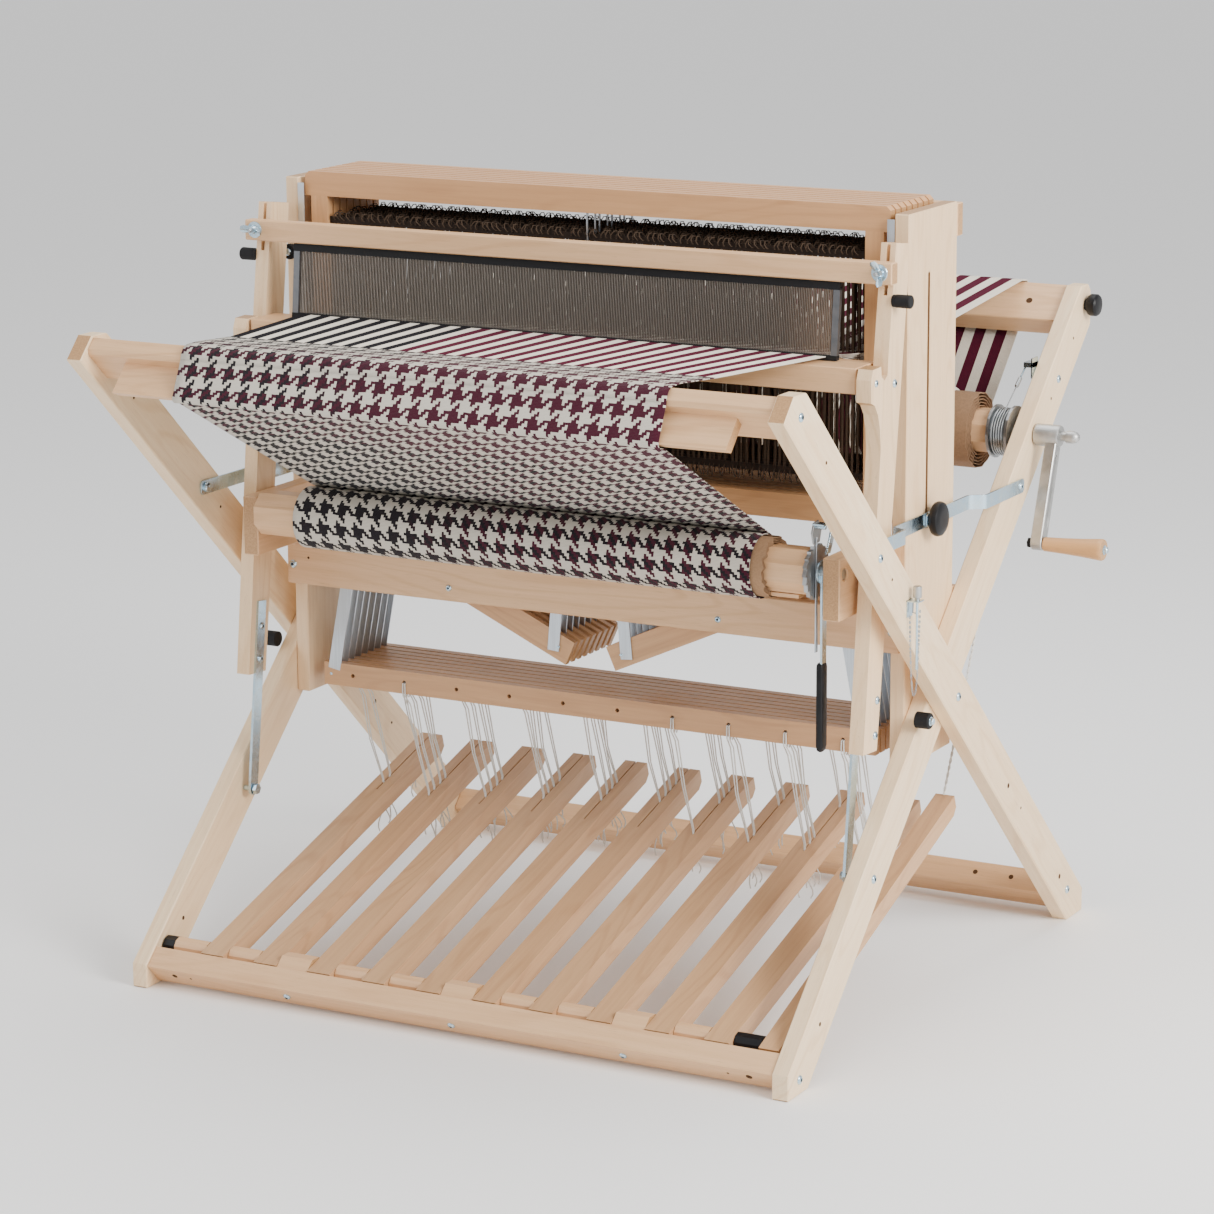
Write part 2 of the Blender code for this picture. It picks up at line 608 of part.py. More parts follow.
def beater(back_pivot):
    """Sides, handrail, sill and reed, swinging on the strap bolts."""
    axis = (0.0, BEATER_PIVOT_Y, BEATER_PIVOT_Z)
    bolt_guide = empty("beater_bolt_axis", axis, back_pivot)
    swing = empty("beater_swing", axis, bolt_guide)
    strap_inner = BEATER_SIDE_INNER + GAP - STRAP_THICKNESS
    lean = math.atan2(0.036, STRAP_TOP - BEATER_PIVOT_Z)
    end = STRAP_HALF_WIDTH
    reach = (STRAP_TOP - BEATER_PIVOT_Z) / math.cos(lean)
    strap = [(-end, 0.0), (-0.7 * end, -0.7 * end), (0.0, -end), (0.7 * end, -0.7 * end), (end, 0.0),
             (end, reach), (-end, reach)]
    strap = [(BEATER_PIVOT_Y + u * math.cos(lean) + v * math.sin(lean),
              BEATER_PIVOT_Z - u * math.sin(lean) + v * math.cos(lean)) for u, v in strap]
    hole = circle(BEATER_PIVOT_Y, BEATER_PIVOT_Z, 0.0050, sides=12)
    thickness = BEATER_SIDE_OUTER - BEATER_SIDE_INNER
    for name, sign in (("left", -1), ("right", 1)):
        side = plate(f"beater_side_{name}", beater_side_outline(), thickness,
                     (sign * (BEATER_SIDE_INNER + thickness / 2), 0.0, 0.0), SIDE_PLANE, MAPLE)
        strip = plate(f"beater_strap_{name}_joined", strap, STRAP_THICKNESS,
                      (sign * (strap_inner + STRAP_THICKNESS / 2), 0.0, 0.0), SIDE_PLANE, STEEL,
                      holes=(hole,), collection=CUTTERS)
        boolean(side, strip, 'UNION')
        middle = sign * (BEATER_SIDE_INNER + thickness / 2)
        cut = block(f"beater_slot_{name}", (middle - SIDE_SLOT_WIDTH / 2, -0.20, SIDE_SLOT_BOTTOM),
                    (middle + SIDE_SLOT_WIDTH / 2, -0.05, SIDE_SLOT_BOTTOM + 0.1), MAPLE, collection=CUTTERS)
        attach(boolean(side, cut, 'DIFFERENCE'), swing)
    attach(block("beater_handrail", (-0.523, -0.1720, 1.060), (0.523, -0.1520, 1.090), MAPLE, edge=EDGE),
           swing)
    attach(block("beater_sill", (-BEATER_SIDE_INNER + STRAP_THICKNESS, -0.2130, 0.914),
                 (BEATER_SIDE_INNER - STRAP_THICKNESS, -0.1450, 0.9500), MAPLE, edge=EDGE), swing)
    attach(plate("reed", reed_outline(), 2 * REED_HALF_WIDTH, (0.0, 0.0, 0.0), SIDE_PLANE, REED_STEEL), swing)
    shank = rod("beater_pivot_bolt", (-0.4965, BEATER_PIVOT_Y, BEATER_PIVOT_Z), 0.004, 0.022, ALONG_X,
                STEEL, sides=12)
    head = rod("beater_pivot_nut_joined", (-0.4865, BEATER_PIVOT_Y, BEATER_PIVOT_Z), 0.008, 0.006, ALONG_X,
               STEEL, collection=CUTTERS, sides=6)
    attach(boolean(shank, head, 'UNION'), bolt_guide)


def octagon(name, left, right, place, material):
    """A wooden beam of eight flats, lying along X with a flat on top."""
    radius = BEAM_FLAT / 2 / math.cos(math.pi / 8)
    outline = circle(place[0], place[1], radius, sides=8, start=math.pi / 8)
    return plate(name, outline, right - left, ((left + right) / 2, 0.0, 0.0), SIDE_PLANE, material)


def cloth_beam():
    place = (CLOTH_BEAM_Y, CLOTH_BEAM_Z)
    guide = empty("cloth_beam_axis", (0.0, *place), ROOT)
    beam = octagon("cloth_beam", CLOTH_BEAM_LEFT, CLOTH_BEAM_RIGHT, place, MAPLE)
    teeth = []
    for k in range(RATCHET_TEETH):
        for share, radius in ((0.0, RATCHET_RADIUS), (0.15, RATCHET_RADIUS - 0.004)):
            t = 2 * math.pi * (k + share) / RATCHET_TEETH
            teeth.append((place[0] + radius * math.cos(t), place[1] + radius * math.sin(t)))
    wheel = plate("ratchet_joined", teeth, RATCHET_THICKNESS,
                  (CLOTH_BEAM_RIGHT + RATCHET_THICKNESS / 2 - 0.0005, 0.0, 0.0), SIDE_PLANE, STEEL,
                  collection=CUTTERS)
    boolean(beam, wheel, 'UNION')
    reach = CASTLE_INNER - 0.002
    axle = rod("cloth_journal_joined", (0.0, *place), JOURNAL_RADIUS, 2 * reach, ALONG_X, STEEL,
               collection=CUTTERS)
    boolean(beam, axle, 'UNION')
    attach(beam, guide)
    roll = plate("cloth_roll", circle(*place, CLOTH_ROLL_RADIUS, sides=24),
                 CLOTH_ROLL_RIGHT - CLOTH_ROLL_LEFT, ((CLOTH_ROLL_LEFT + CLOTH_ROLL_RIGHT) / 2, 0.0, 0.0),
                 SIDE_PLANE, CLOTH, holes=(circle(*place, ROLL_BORE, sides=16),))
    attach(roll, guide)
    lever_guide = empty("cloth_lever_axis", (0.4515, *place), ROOT)
    bar = [(-0.017, 0.010), (-0.017, -0.010), (-0.007, -0.030), (-0.007, -0.140), (0.007, -0.140),
           (0.007, -0.030), (0.017, -0.010), (0.017, 0.010), (0.008, 0.017), (-0.008, 0.017)]
    lever = plate("cloth_lever", bar, 0.004, (0.4515, *place), SIDE_PLANE, STEEL,
                  holes=(circle(0.0, 0.0, JOURNAL_RADIUS + GAP),))
    grip = block("lever_grip_joined", (0.4465, place[0] - 0.010, place[1] - 0.253),
                 (0.4575, place[0] + 0.010, place[1] - 0.135), BLACK, collection=CUTTERS)
    attach(boolean(lever, grip, 'UNION'), lever_guide)


def warp_beam(back_pivot):
    place = on_back_leg(WARP_BEAM_ALONG, WARP_BEAM_OFFSET)
    guide = empty("warp_beam_axis", (0.0, *place), back_pivot)
    beam = octagon("warp_beam", -0.480, DRUM_LEFT + 0.001, place, MAPLE)
    drum = [(DRUM_LEFT, 0.0), (DRUM_LEFT, DRUM_RADIUS), (DRUM_LEFT + 0.004, DRUM_RADIUS),
            (DRUM_LEFT + 0.004, 0.032), (DRUM_RIGHT - 0.004, 0.032), (DRUM_RIGHT - 0.004, DRUM_RADIUS),
            (DRUM_RIGHT, DRUM_RADIUS), (DRUM_RIGHT, 0.0)]
    mesh = bpy.data.meshes.new("brake_drum_joined")
    mesh.from_pydata([(x, 0.0, r) for x, r in drum], [(k, k + 1) for k in range(len(drum) - 1)], [])
    wheel = bpy.data.objects.new("brake_drum_joined", mesh)
    put_in(wheel, CUTTERS)
    wheel.location = (0.0, *place)
    turn = wheel.modifiers.new("turn", 'SCREW')
    turn.axis = 'X'
    turn.steps = 20
    turn.render_steps = 20
    turn.use_merge_vertices = True
    turn.merge_threshold = 0.00001
    boolean(beam, wheel, 'UNION')
    left, right = -BACK_LEG_OUTER + 0.002, BACK_LEG_OUTER + 0.001
    axle = rod("warp_journal_joined", ((left + right) / 2, *place), JOURNAL_RADIUS, right - left, ALONG_X,
               STEEL, collection=CUTTERS)
    boolean(beam, axle, 'UNION')
    attach(beam, guide)
    roll = plate("warp_roll", circle(*place, WARP_ROLL_RADIUS, sides=24),
                 WARP_ROLL_RIGHT - WARP_ROLL_LEFT, ((WARP_ROLL_LEFT + WARP_ROLL_RIGHT) / 2, 0.0, 0.0),
                 SIDE_PLANE, WARP, holes=(circle(*place, ROLL_BORE, sides=16),))
    attach(roll, guide)
    attach(crank(place), guide)


def crank(place):
    hub_left = BACK_LEG_OUTER + 0.0015
    hub = rod("crank", ((hub_left + CRANK_HUB_RIGHT) / 2, *place), CRANK_HUB_RADIUS,
              CRANK_HUB_RIGHT - hub_left, ALONG_X, CAST)
    middle = (CRANK_HUB_RIGHT + CRANK_STUB_RIGHT) / 2
    stub = rod("crank_stub_joined", (middle - 0.001, *place), 0.009,
               CRANK_STUB_RIGHT - CRANK_HUB_RIGHT + 0.002, ALONG_X, STEEL, collection=CUTTERS, sides=12)
    boolean(hub, stub, 'UNION')
    arm = [(-0.011, 0.0), (0.011, 0.0), (0.010, -CRANK_REACH), (0.006, -CRANK_REACH - 0.009),
           (-0.006, -CRANK_REACH - 0.009), (-0.010, -CRANK_REACH)]
    swing = (math.radians(90), CRANK_SWING, math.radians(90))
    lever = plate("crank_arm_joined", arm[::-1], CRANK_ARM_THICKNESS, (CRANK_ARM_X, *place), swing, CAST,
                  collection=CUTTERS)
    boolean(hub, lever, 'UNION')
    grip_y = place[0] - CRANK_REACH * math.sin(CRANK_SWING)
    grip_z = place[1] - CRANK_REACH * math.cos(CRANK_SWING)
    left = CRANK_ARM_X + CRANK_ARM_THICKNESS / 2 - 0.001
    grip = rod("crank_grip_joined", ((left + CRANK_GRIP_RIGHT) / 2, grip_y, grip_z), 0.010,
               CRANK_GRIP_RIGHT - left, ALONG_X, MAPLE, collection=CUTTERS, tip=0.016)
    boolean(hub, grip, 'UNION')
    nut = rod("crank_nut_joined", (CRANK_GRIP_RIGHT + 0.002, grip_y, grip_z), 0.006, 0.008, ALONG_X, STEEL,
              collection=CUTTERS, sides=6)
    return boolean(hub, nut, 'UNION')


def brace_outline(route, width):
    """A strip bent along a route of (y, x) points, as a closed outline of its own thickness."""
    return route + [(y, x + width) for y, x in reversed(route)]


def braces(breast_pivot, back_pivot):
    """Bent steel strips from the legs to the clamping knobs at the castle's slots."""
    front_bolt = on_breast_leg(BRACE_BOLT)
    rear_bolt = on_back_leg(BRACE_BOLT)
    inner = CASTLE_HALF_WIDTH + 0.0008
    front_outer = BREAST_LEG_INNER - GAP - STRIP
    rear_inner = inner + STRIP + 0.0005
    rear_outer = BACK_LEG_OUTER + GAP
    front_route = [(front_bolt[0] - 0.014, front_outer), (-0.139, front_outer), (-0.127, inner),
                   (SLOT_Y + 0.014, inner)]
    rear_route = [(SLOT_Y - 0.014, rear_inner), (0.118, rear_inner), (0.140, rear_outer),
                  (rear_bolt[0] + 0.014, rear_outer)]
    for name, sign in (("left", -1), ("right", 1)):
        for kind, route, bolt, pivot in (("front", front_route, front_bolt, breast_pivot),
                                         ("rear", rear_route, rear_bolt, back_pivot)):
            guide = empty(f"{kind}_brace_axis_{name}", (sign * front_outer, *bolt), pivot)
            outline = [(sign * x, y) for y, x in brace_outline(route, STRIP)][::-sign]
            strip = plate(f"{kind}_brace_{name}", outline, BRACE_WIDTH, (0.0, 0.0, KNOB_Z - 0.0015),
                          (0.0, 0.0, 0.0), STEEL)
            if kind == "rear":
                knob_left = rear_inner + STRIP - 0.0005
                knob = rod(f"knob_{name}_joined", (sign * (knob_left + 0.010), SLOT_Y, KNOB_Z), KNOB_RADIUS,
                           0.020, ALONG_X, BLACK, collection=CUTTERS)
                boolean(strip, knob, 'UNION')
            attach(strip, guide)


ROOT = empty("loom_root", (0.0, 0.0, 0.0))
castle()
breast_pivot = breast_frame()
back_pivot = back_frame()
treadles(back_pivot)
shafts_and_lamms()
jack_banks()
beater(back_pivot)
cloth_beam()
warp_beam(back_pivot)
braces(breast_pivot, back_pivot)
ROOT.location = (-BOX_MIDDLE_X, -BOX_MIDDLE_Y, 0.0)
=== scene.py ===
"""Visual model of the folding floor loom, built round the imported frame.

Metres, +Z up. Places are written in loom coordinates, whose origin is on the
floor under the castle, and at() turns them into the frame's.
"""
import math
import random

import bmesh
import bpy
from mathutils import Matrix, Vector


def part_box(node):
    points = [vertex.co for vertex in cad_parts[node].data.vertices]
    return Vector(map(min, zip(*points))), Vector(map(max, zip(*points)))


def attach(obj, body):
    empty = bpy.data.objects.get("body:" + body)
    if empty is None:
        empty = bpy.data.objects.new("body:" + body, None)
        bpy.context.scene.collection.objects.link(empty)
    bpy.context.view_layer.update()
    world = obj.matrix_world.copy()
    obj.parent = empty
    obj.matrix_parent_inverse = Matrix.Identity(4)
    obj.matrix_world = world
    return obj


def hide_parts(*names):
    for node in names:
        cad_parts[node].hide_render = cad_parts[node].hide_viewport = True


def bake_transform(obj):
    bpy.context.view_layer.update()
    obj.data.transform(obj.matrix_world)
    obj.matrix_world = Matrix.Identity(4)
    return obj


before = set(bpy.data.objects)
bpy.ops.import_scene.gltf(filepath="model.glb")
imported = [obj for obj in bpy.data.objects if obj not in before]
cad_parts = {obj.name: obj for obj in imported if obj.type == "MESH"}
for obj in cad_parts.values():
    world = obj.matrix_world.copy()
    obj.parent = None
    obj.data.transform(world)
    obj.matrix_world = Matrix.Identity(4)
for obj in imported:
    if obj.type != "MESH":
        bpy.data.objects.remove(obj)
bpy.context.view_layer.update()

random.seed(7)

# ---------------------------------------------------------------- places
CASTLE_FRONT = -0.082
rail_low, rail_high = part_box("castle_front_rail")
side_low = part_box("castle_side_left")[0]
SHIFT = Vector(((rail_low.x + rail_high.x) / 2, side_low.y - CASTLE_FRONT, 0.0))

PIVOT = (-0.008, 0.4525)
LEG_TILT = math.radians(46.9)
BREAST_LEG_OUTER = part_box("breast_leg_right")[1].x - SHIFT.x
BACK_LEG_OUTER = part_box("back_leg_right")[1].x - SHIFT.x
CASTLE_OUTER = rail_high.x - SHIFT.x
TREADLE_PITCH = 0.0914
TREADLE_SLOPE = math.radians(16.3)
TREADLE_ROD = (-0.449, 0.052)
SHAFTS = 8
SHAFT_PITCH = 0.0188
SHAFT_THICKNESS = 0.0145
JACK_SLOPE = math.radians(24.3)
JACK_PIVOT = (0.224, 0.5492)
CLOTH_AXIS = (-0.235, 0.668)
BEATER_AXIS = (-0.235, 0.239)
BRACE_BOLT = 0.372
JACK_PIN_Z = 0.472
LAMM_HOLE_Z = 0.387
HEDDLE_TOP = 1.083
HEDDLE_BOTTOM = 0.77
REED_HALF = 0.4425
CRANK_SWING = math.radians(19.5)
CRANK_REACH = 0.161

# ---------------------------------------------------------------- warp and cloth
ENDS = 400
ENDS_PER_STRIPE = 8
EYE_Z = 0.93
YARN_RADIUS = 0.00082
CORD_RADIUS = 0.00105
REED_LINE = (-0.166, 0.9555)
FELL = (-0.425, 0.9615)
LEASE_Y = 0.27
LEASE_Z = 0.952
BACK_BEAM_TOP = (0.5, 0.9735)
HALF_AT_BEAM = 0.436
HALF_AT_REED = 0.428
HALF_AT_FELL = 0.384
WEB_EDGES = (-0.376, 0.3815)
ROLL_EDGES = (-0.3808, 0.3622)
REPEAT = 2 * HALF_AT_FELL / (ENDS / (2 * ENDS_PER_STRIPE))
CREAM = (0.8, 0.74, 0.64)
INK = (0.006, 0.005, 0.008)
WINE = (0.06, 0.003, 0.016)


def at(x, y, z):
    return Vector((x, y, z)) + SHIFT


def on_breast_leg(along, across=0.0):
    """(y, z) of a point on a breast leg, from the pivot."""
    y = PIVOT[0] - along * math.sin(LEG_TILT) + across * math.cos(LEG_TILT)
    return y, PIVOT[1] + along * math.cos(LEG_TILT) + across * math.sin(LEG_TILT)


def on_back_leg(along, across=0.0):
    """(y, z) of a point on a back leg, from the pivot."""
    y = PIVOT[0] + along * math.sin(LEG_TILT) - across * math.cos(LEG_TILT)
    return y, PIVOT[1] + along * math.cos(LEG_TILT) + across * math.sin(LEG_TILT)


WARP_AXIS = on_back_leg(0.462, 0.008)
UP_BREAST_LEG = Vector((0, -math.sin(LEG_TILT), math.cos(LEG_TILT)))
UP_BACK_LEG = Vector((0, math.sin(LEG_TILT), math.cos(LEG_TILT)))
OFF_BACK_LEG = Vector((0, math.cos(LEG_TILT), -math.sin(LEG_TILT)))


def shaft_y(k):
    """Middle of shaft or lamm k, counted from 0 at the front."""
    return -0.0765 + SHAFT_PITCH * k + SHAFT_THICKNESS / 2


# ---------------------------------------------------------------- materials
class Shader:
    """A material with short calls for its nodes. Each call gives an output socket."""

    def __init__(self, name, roughness=0.5, metallic=0.0):
        self.material = bpy.data.materials.new(name)
        self.material.use_nodes = True
        self.nodes = self.material.node_tree.nodes
        self.links = self.material.node_tree.links
        self.surface = self.nodes["Principled BSDF"]
        self.surface.inputs["Roughness"].default_value = roughness
        self.surface.inputs["Metallic"].default_value = metallic

    def feed(self, socket, value):
        if isinstance(value, bpy.types.NodeSocket):
            self.links.new(value, socket)
        else:
            socket.default_value = value

    def node(self, kind, output=0, inputs=(), **settings):
        made = self.nodes.new(kind)
        for key, value in settings.items():
            setattr(made, key, value)
        for key, value in dict(inputs).items():
            self.feed(made.inputs[key], value)
        return made.outputs[output]

    def sum(self, operation, a, b=0.0, c=0.0):
        return self.node("ShaderNodeMath", inputs={0: a, 1: b, 2: c}, operation=operation)

    def vector(self, operation, a, b, output=0):
        return self.node("ShaderNodeVectorMath", output, {0: a, 1: b}, operation=operation)

    def place(self):
        return self.node("ShaderNodeTexCoord", 3)

    def noise(self, vector, scale, detail, roughness=0.5, distortion=0.0):
        return self.node("ShaderNodeTexNoise", 0, {
            "Vector": vector, "Scale": scale, "Detail": detail, "Roughness": roughness,
            "Distortion": distortion})

    def ramp(self, value, low, high, bottom=0.0, top=1.0):
        return self.node("ShaderNodeMapRange", 0, {
            "Value": value, "From Min": low, "From Max": high, "To Min": bottom, "To Max": top})

    def mix(self, factor, a, b, blend='MIX'):
        inputs = {0: factor, 6: self.colour(a), 7: self.colour(b)}
        return self.node("ShaderNodeMix", 2, inputs, data_type='RGBA', blend_type=blend)

    @staticmethod
    def colour(value):
        return (*value, 1.0) if isinstance(value, tuple) and len(value) == 3 else value

    def base(self, value):
        self.feed(self.surface.inputs["Base Color"], self.colour(value))
        return self

    def rough(self, value):
        self.feed(self.surface.inputs["Roughness"], value)
        return self

    def bump(self, height, distance, strength):
        normal = self.node("ShaderNodeBump", 0, {
            "Height": height, "Distance": distance, "Strength": strength})
        self.links.new(normal, self.surface.inputs["Normal"])
        return self


def wood(name, grain, light=(0.76, 0.49, 0.275), dark=(0.58, 0.325, 0.155), seed=0.0):
    """Lacquered maple whose grain runs along the direction grain."""
    grain = Vector(grain).normalized()
    side = grain.cross(Vector((1, 0, 0)) if abs(grain.x) < 0.9 else Vector((0, 1, 0))).normalized()
    other = grain.cross(side)
    s = Shader(name, 0.42)
    place = s.place()
    along, across, deep = (s.vector('DOT_PRODUCT', place, tuple(d), 1) for d in (grain, side, other))
    slow = s.node("ShaderNodeCombineXYZ", 0, {
        0: across, 1: deep, 2: s.sum('MULTIPLY_ADD', along, 0.16, seed)})
    fast = s.node("ShaderNodeCombineXYZ", 0, {
        0: across, 1: deep, 2: s.sum('MULTIPLY', along, 0.022)})
    drift = s.noise(slow, 9.0, 2.0, 0.45)
    rings = s.sum('SINE', s.sum('MULTIPLY', s.sum('ADD', drift, s.sum('MULTIPLY', across, 0.8)), 95.0))
    lines = s.ramp(rings, 0.35, 1.0, 0.0, 0.42)
    fibres = s.noise(fast, 900.0, 3.0, 0.7)
    streaks = s.noise(fast, 160.0, 2.0, 0.6)
    clouds = s.noise(slow, 16.0, 2.0, 0.5)
    amount = s.sum('ADD', s.sum('MULTIPLY', lines, s.ramp(clouds, 0.35, 0.7, 0.25, 1.0)),
                   s.ramp(streaks, 0.35, 0.75, 0.0, 0.34))
    amount = s.sum('ADD', amount, s.ramp(fibres, 0.45, 0.8, 0.0, 0.22))
    board = s.mix(amount, light, dark)
    pores = s.ramp(s.noise(fast, 1500.0, 1.0, 0.5), 0.66, 0.74, 0.0, 0.35)
    board = s.mix(pores, board, (0.33, 0.17, 0.075))
    tint = s.ramp(s.noise(slow, 4.0, 1.0, 0.5), 0.3, 0.7, 0.0, 0.3)
    board = s.mix(tint, board, (0.88, 0.66, 0.44), 'MULTIPLY')
    normal = s.node("ShaderNodeTexCoord", 1)
    facing = s.sum('ABSOLUTE', s.vector('DOT_PRODUCT', normal, tuple(grain), 1))
    cut = s.ramp(facing, 0.82, 0.95)
    end = s.mix(s.ramp(s.noise(place, 420.0, 3.0, 0.6), 0.3, 0.7), (0.52, 0.3, 0.135), (0.36, 0.19, 0.08))
    s.base(s.mix(cut, board, end))
    s.rough(s.ramp(s.noise(fast, 240.0, 2.0), 0.2, 0.8, 0.36, 0.5))
    return s.bump(s.sum('ADD', fibres, s.sum('MULTIPLY', rings, 0.08)), 0.00012, 0.5).material


def metal(name, colour, other, roughness, grain=260.0, pits=0.00004):
    """Metal with uneven plating, fine pits and small scratches."""
    s = Shader(name, roughness, 1.0)
    place = s.place()
    patches = s.ramp(s.noise(place, 55.0, 4.0, 0.6, 0.6), 0.3, 0.7)
    s.base(s.mix(patches, colour, other))
    fine = s.noise(place, grain * 6, 3.0, 0.6)
    s.rough(s.sum('ADD', s.ramp(patches, 0.0, 1.0, roughness - 0.06, roughness + 0.08),
                  s.ramp(fine, 0.3, 0.8, -0.05, 0.08)))
    return s.bump(s.noise(place, grain * 4, 3.0, 0.6), pits, 0.6).material


def brushed(name, direction, colour, roughness):
    """Extruded or rolled metal with drawn lines along a direction."""
    s = Shader(name, roughness, 1.0)
    squeeze = tuple(6.0 if abs(d) > 0.5 else 500.0 for d in direction)
    lines = s.noise(s.vector('MULTIPLY', s.place(), squeeze), 2.0, 3.0, 0.6)
    s.base(s.mix(s.ramp(lines, 0.3, 0.7), colour, tuple(0.78 * c for c in colour)))
    s.rough(s.ramp(lines, 0.3, 0.7, roughness - 0.08, roughness + 0.1))
    return s.bump(lines, 0.00005, 0.5).material


def plastic(name, colour, roughness, grain=700.0):
    s = Shader(name, roughness)
    place = s.place()
    wear = s.ramp(s.noise(place, 40.0, 4.0, 0.6), 0.35, 0.75)
    s.base(s.mix(wear, colour, tuple(1.5 * c + 0.002 for c in colour)))
    s.surface.inputs["Specular IOR Level"].default_value = 0.22
    s.rough(s.ramp(wear, 0.0, 1.0, roughness, roughness + 0.14))
    return s.bump(s.noise(place, grain, 2.0, 0.5), 0.00008, 0.4).material


def yarn(name, colour, scale=900.0, fuzz=0.2):
    """Spun cotton: paler and darker fibres, a fuzzy edge and a twisted bump."""
    s = Shader(name, 0.95)
    place = s.place()
    fibres = s.noise(place, scale, 4.0, 0.7)
    s.base(s.mix(s.ramp(fibres, 0.3, 0.75), tuple(0.66 * c for c in colour), colour))
    s.surface.inputs["Sheen Weight"].default_value = fuzz
    s.surface.inputs["Specular IOR Level"].default_value = 0.15
    return s.bump(fibres, 0.0004, 0.7).material


def paper(name, colour):
    """Pulp paper with pale and dark fibres."""
    s = Shader(name, 0.85)
    place = s.place()
    pulp = s.noise(place, 300.0, 5.0, 0.7)
    s.base(s.mix(s.ramp(pulp, 0.3, 0.7), colour, tuple(0.72 * c for c in colour)))
    return s.bump(pulp, 0.0005, 0.5).material


def houndstooth(name, zones):
    """Woven cloth. UV is metres across the warp and metres along the web.

    zones lists (where it starts along the web, colour of its dark weft).
    """
    s = Shader(name, 0.92)
    uv = s.node("ShaderNodeTexCoord", 2)
    across = s.node("ShaderNodeSeparateXYZ", 0, {0: uv})
    along = s.node("ShaderNodeSeparateXYZ", 1, {0: uv})
    nudge = s.ramp(s.noise(uv, 110.0, 2.0, 0.5), 0.2, 0.8, -0.0007, 0.0007)
    rows = s.vector('MULTIPLY', uv, (0.15, 1.0, 1.0))
    beat = s.ramp(s.noise(rows, 45.0, 2.0, 0.5), 0.2, 0.8, -0.0016, 0.0016)
    cell = REPEAT / 8
    i = s.sum('FLOOR', s.sum('DIVIDE', s.sum('ADD', across, nudge), cell))
    j = s.sum('FLOOR', s.sum('DIVIDE', s.sum('ADD', s.sum('ADD', along, nudge), beat), cell))
    warp_dark = s.sum('LESS_THAN', s.sum('FLOORED_MODULO', i, 8.0), 3.5)
    weft_dark = s.sum('LESS_THAN', s.sum('FLOORED_MODULO', j, 8.0), 3.5)
    weft_colour = INK
    for start, colour in zones:
        weft_colour = s.mix(s.sum('GREATER_THAN', along, start), weft_colour, colour)
    warp_top = s.sum('LESS_THAN', s.sum('FLOORED_MODULO', s.sum('ADD', i, j), 4.0), 1.5)
    drift = s.sum('ADD', across, s.ramp(s.noise(uv, 30.0, 1.0), 0.3, 0.7, -0.04, 0.04))
    warp_colour = s.mix(s.ramp(drift, -0.2, -0.02), INK, WINE)
    dark = s.mix(warp_top, weft_colour, warp_colour)
    is_dark = s.node("ShaderNodeMix", 0, {0: warp_top, 2: weft_dark, 3: warp_dark})
    fibre = s.noise(uv, 2600.0, 3.0, 0.7)
    pale = s.mix(s.ramp(fibre, 0.25, 0.75), tuple(0.72 * c for c in CREAM), CREAM)
    deep = s.mix(s.ramp(fibre, 0.45, 0.9), dark, s.mix(0.3, dark, (0.16, 0.09, 0.11)))
    thread = cell / 2
    ridge_warp = s.sum('ABSOLUTE', s.sum('SINE', s.sum('MULTIPLY', across, math.pi / thread)))
    ridge_weft = s.sum('ABSOLUTE', s.sum('SINE', s.sum('MULTIPLY', along, math.pi / thread)))
    ridge = s.node("ShaderNodeMix", 0, {0: warp_top, 2: ridge_weft, 3: ridge_warp})
    other = s.node("ShaderNodeMix", 0, {0: warp_top, 2: ridge_warp, 3: ridge_weft})
    height = s.sum('ADD', ridge, s.sum('MULTIPLY', other, 0.6))
    # Painted shade: the cloth colour is darkened down to 0.7 in the grooves between the raised threads, where
    # shade falls; the same height also drives the bump.
    shade = s.ramp(height, 0.1, 1.0, 0.7, 1.0)
    grey = s.node("ShaderNodeCombineXYZ", 0, {0: shade, 1: shade, 2: shade})
    s.base(s.mix(1.0, s.mix(is_dark, pale, deep), grey, 'MULTIPLY'))
    s.surface.inputs["Sheen Weight"].default_value = 0.08
    s.surface.inputs["Specular IOR Level"].default_value = 0.15
    return s.bump(s.sum('ADD', height, s.sum('MULTIPLY', fibre, 0.8)), 0.0009, 0.8).material


UP = (0, 0, 1)
ACROSS = (1, 0, 0)
MAPLE_X = wood("maple_across", ACROSS)
MAPLE_Z = wood("maple_upright", UP, (0.86, 0.63, 0.39), (0.7, 0.45, 0.23), 0.7)
# Painted shade: darker maple on the inner walls of the castle slot, standing in for the shade that falls
# inside the slot.
MAPLE_SLOT_PAINTED_SHADE = wood("maple_slot_wall_painted_shade", UP, (0.3, 0.17, 0.08), (0.2, 0.1, 0.045), 0.9)
MAPLE_Y = wood("maple_fore_aft", (0, 1, 0), seed=1.7)
# Painted light: the legs get paler maple than the rest of the frame because they stand in the light from the
# front, not because their wood differs.
MAPLE_BREAST_LEG_PAINTED_LIGHT = wood("maple_breast_leg_painted_light", UP_BREAST_LEG,
                        light=(0.9, 0.7, 0.46), dark=(0.74, 0.5, 0.27), seed=2.3)
MAPLE_BACK_LEG_PAINTED_LIGHT = wood("maple_back_leg_painted_light", UP_BACK_LEG,
                      light=(0.9, 0.7, 0.46), dark=(0.74, 0.5, 0.27), seed=3.1)
MAPLE_TREADLE = wood("maple_treadle", (0, math.cos(TREADLE_SLOPE), math.sin(TREADLE_SLOPE)),
                     light=(0.6, 0.375, 0.205), dark=(0.44, 0.245, 0.12), seed=4.4)
MAPLE_LAMM = wood("maple_lamm", ACROSS, (0.58, 0.335, 0.17), (0.42, 0.22, 0.1), 5.2)
MAPLE_SHAFT = wood("maple_shaft_rail", ACROSS, (0.66, 0.375, 0.18), (0.48, 0.245, 0.105), 6.5)
MAPLE_STILE = wood("maple_shaft_stile", UP, (0.66, 0.375, 0.18), (0.48, 0.245, 0.105), 7.5)
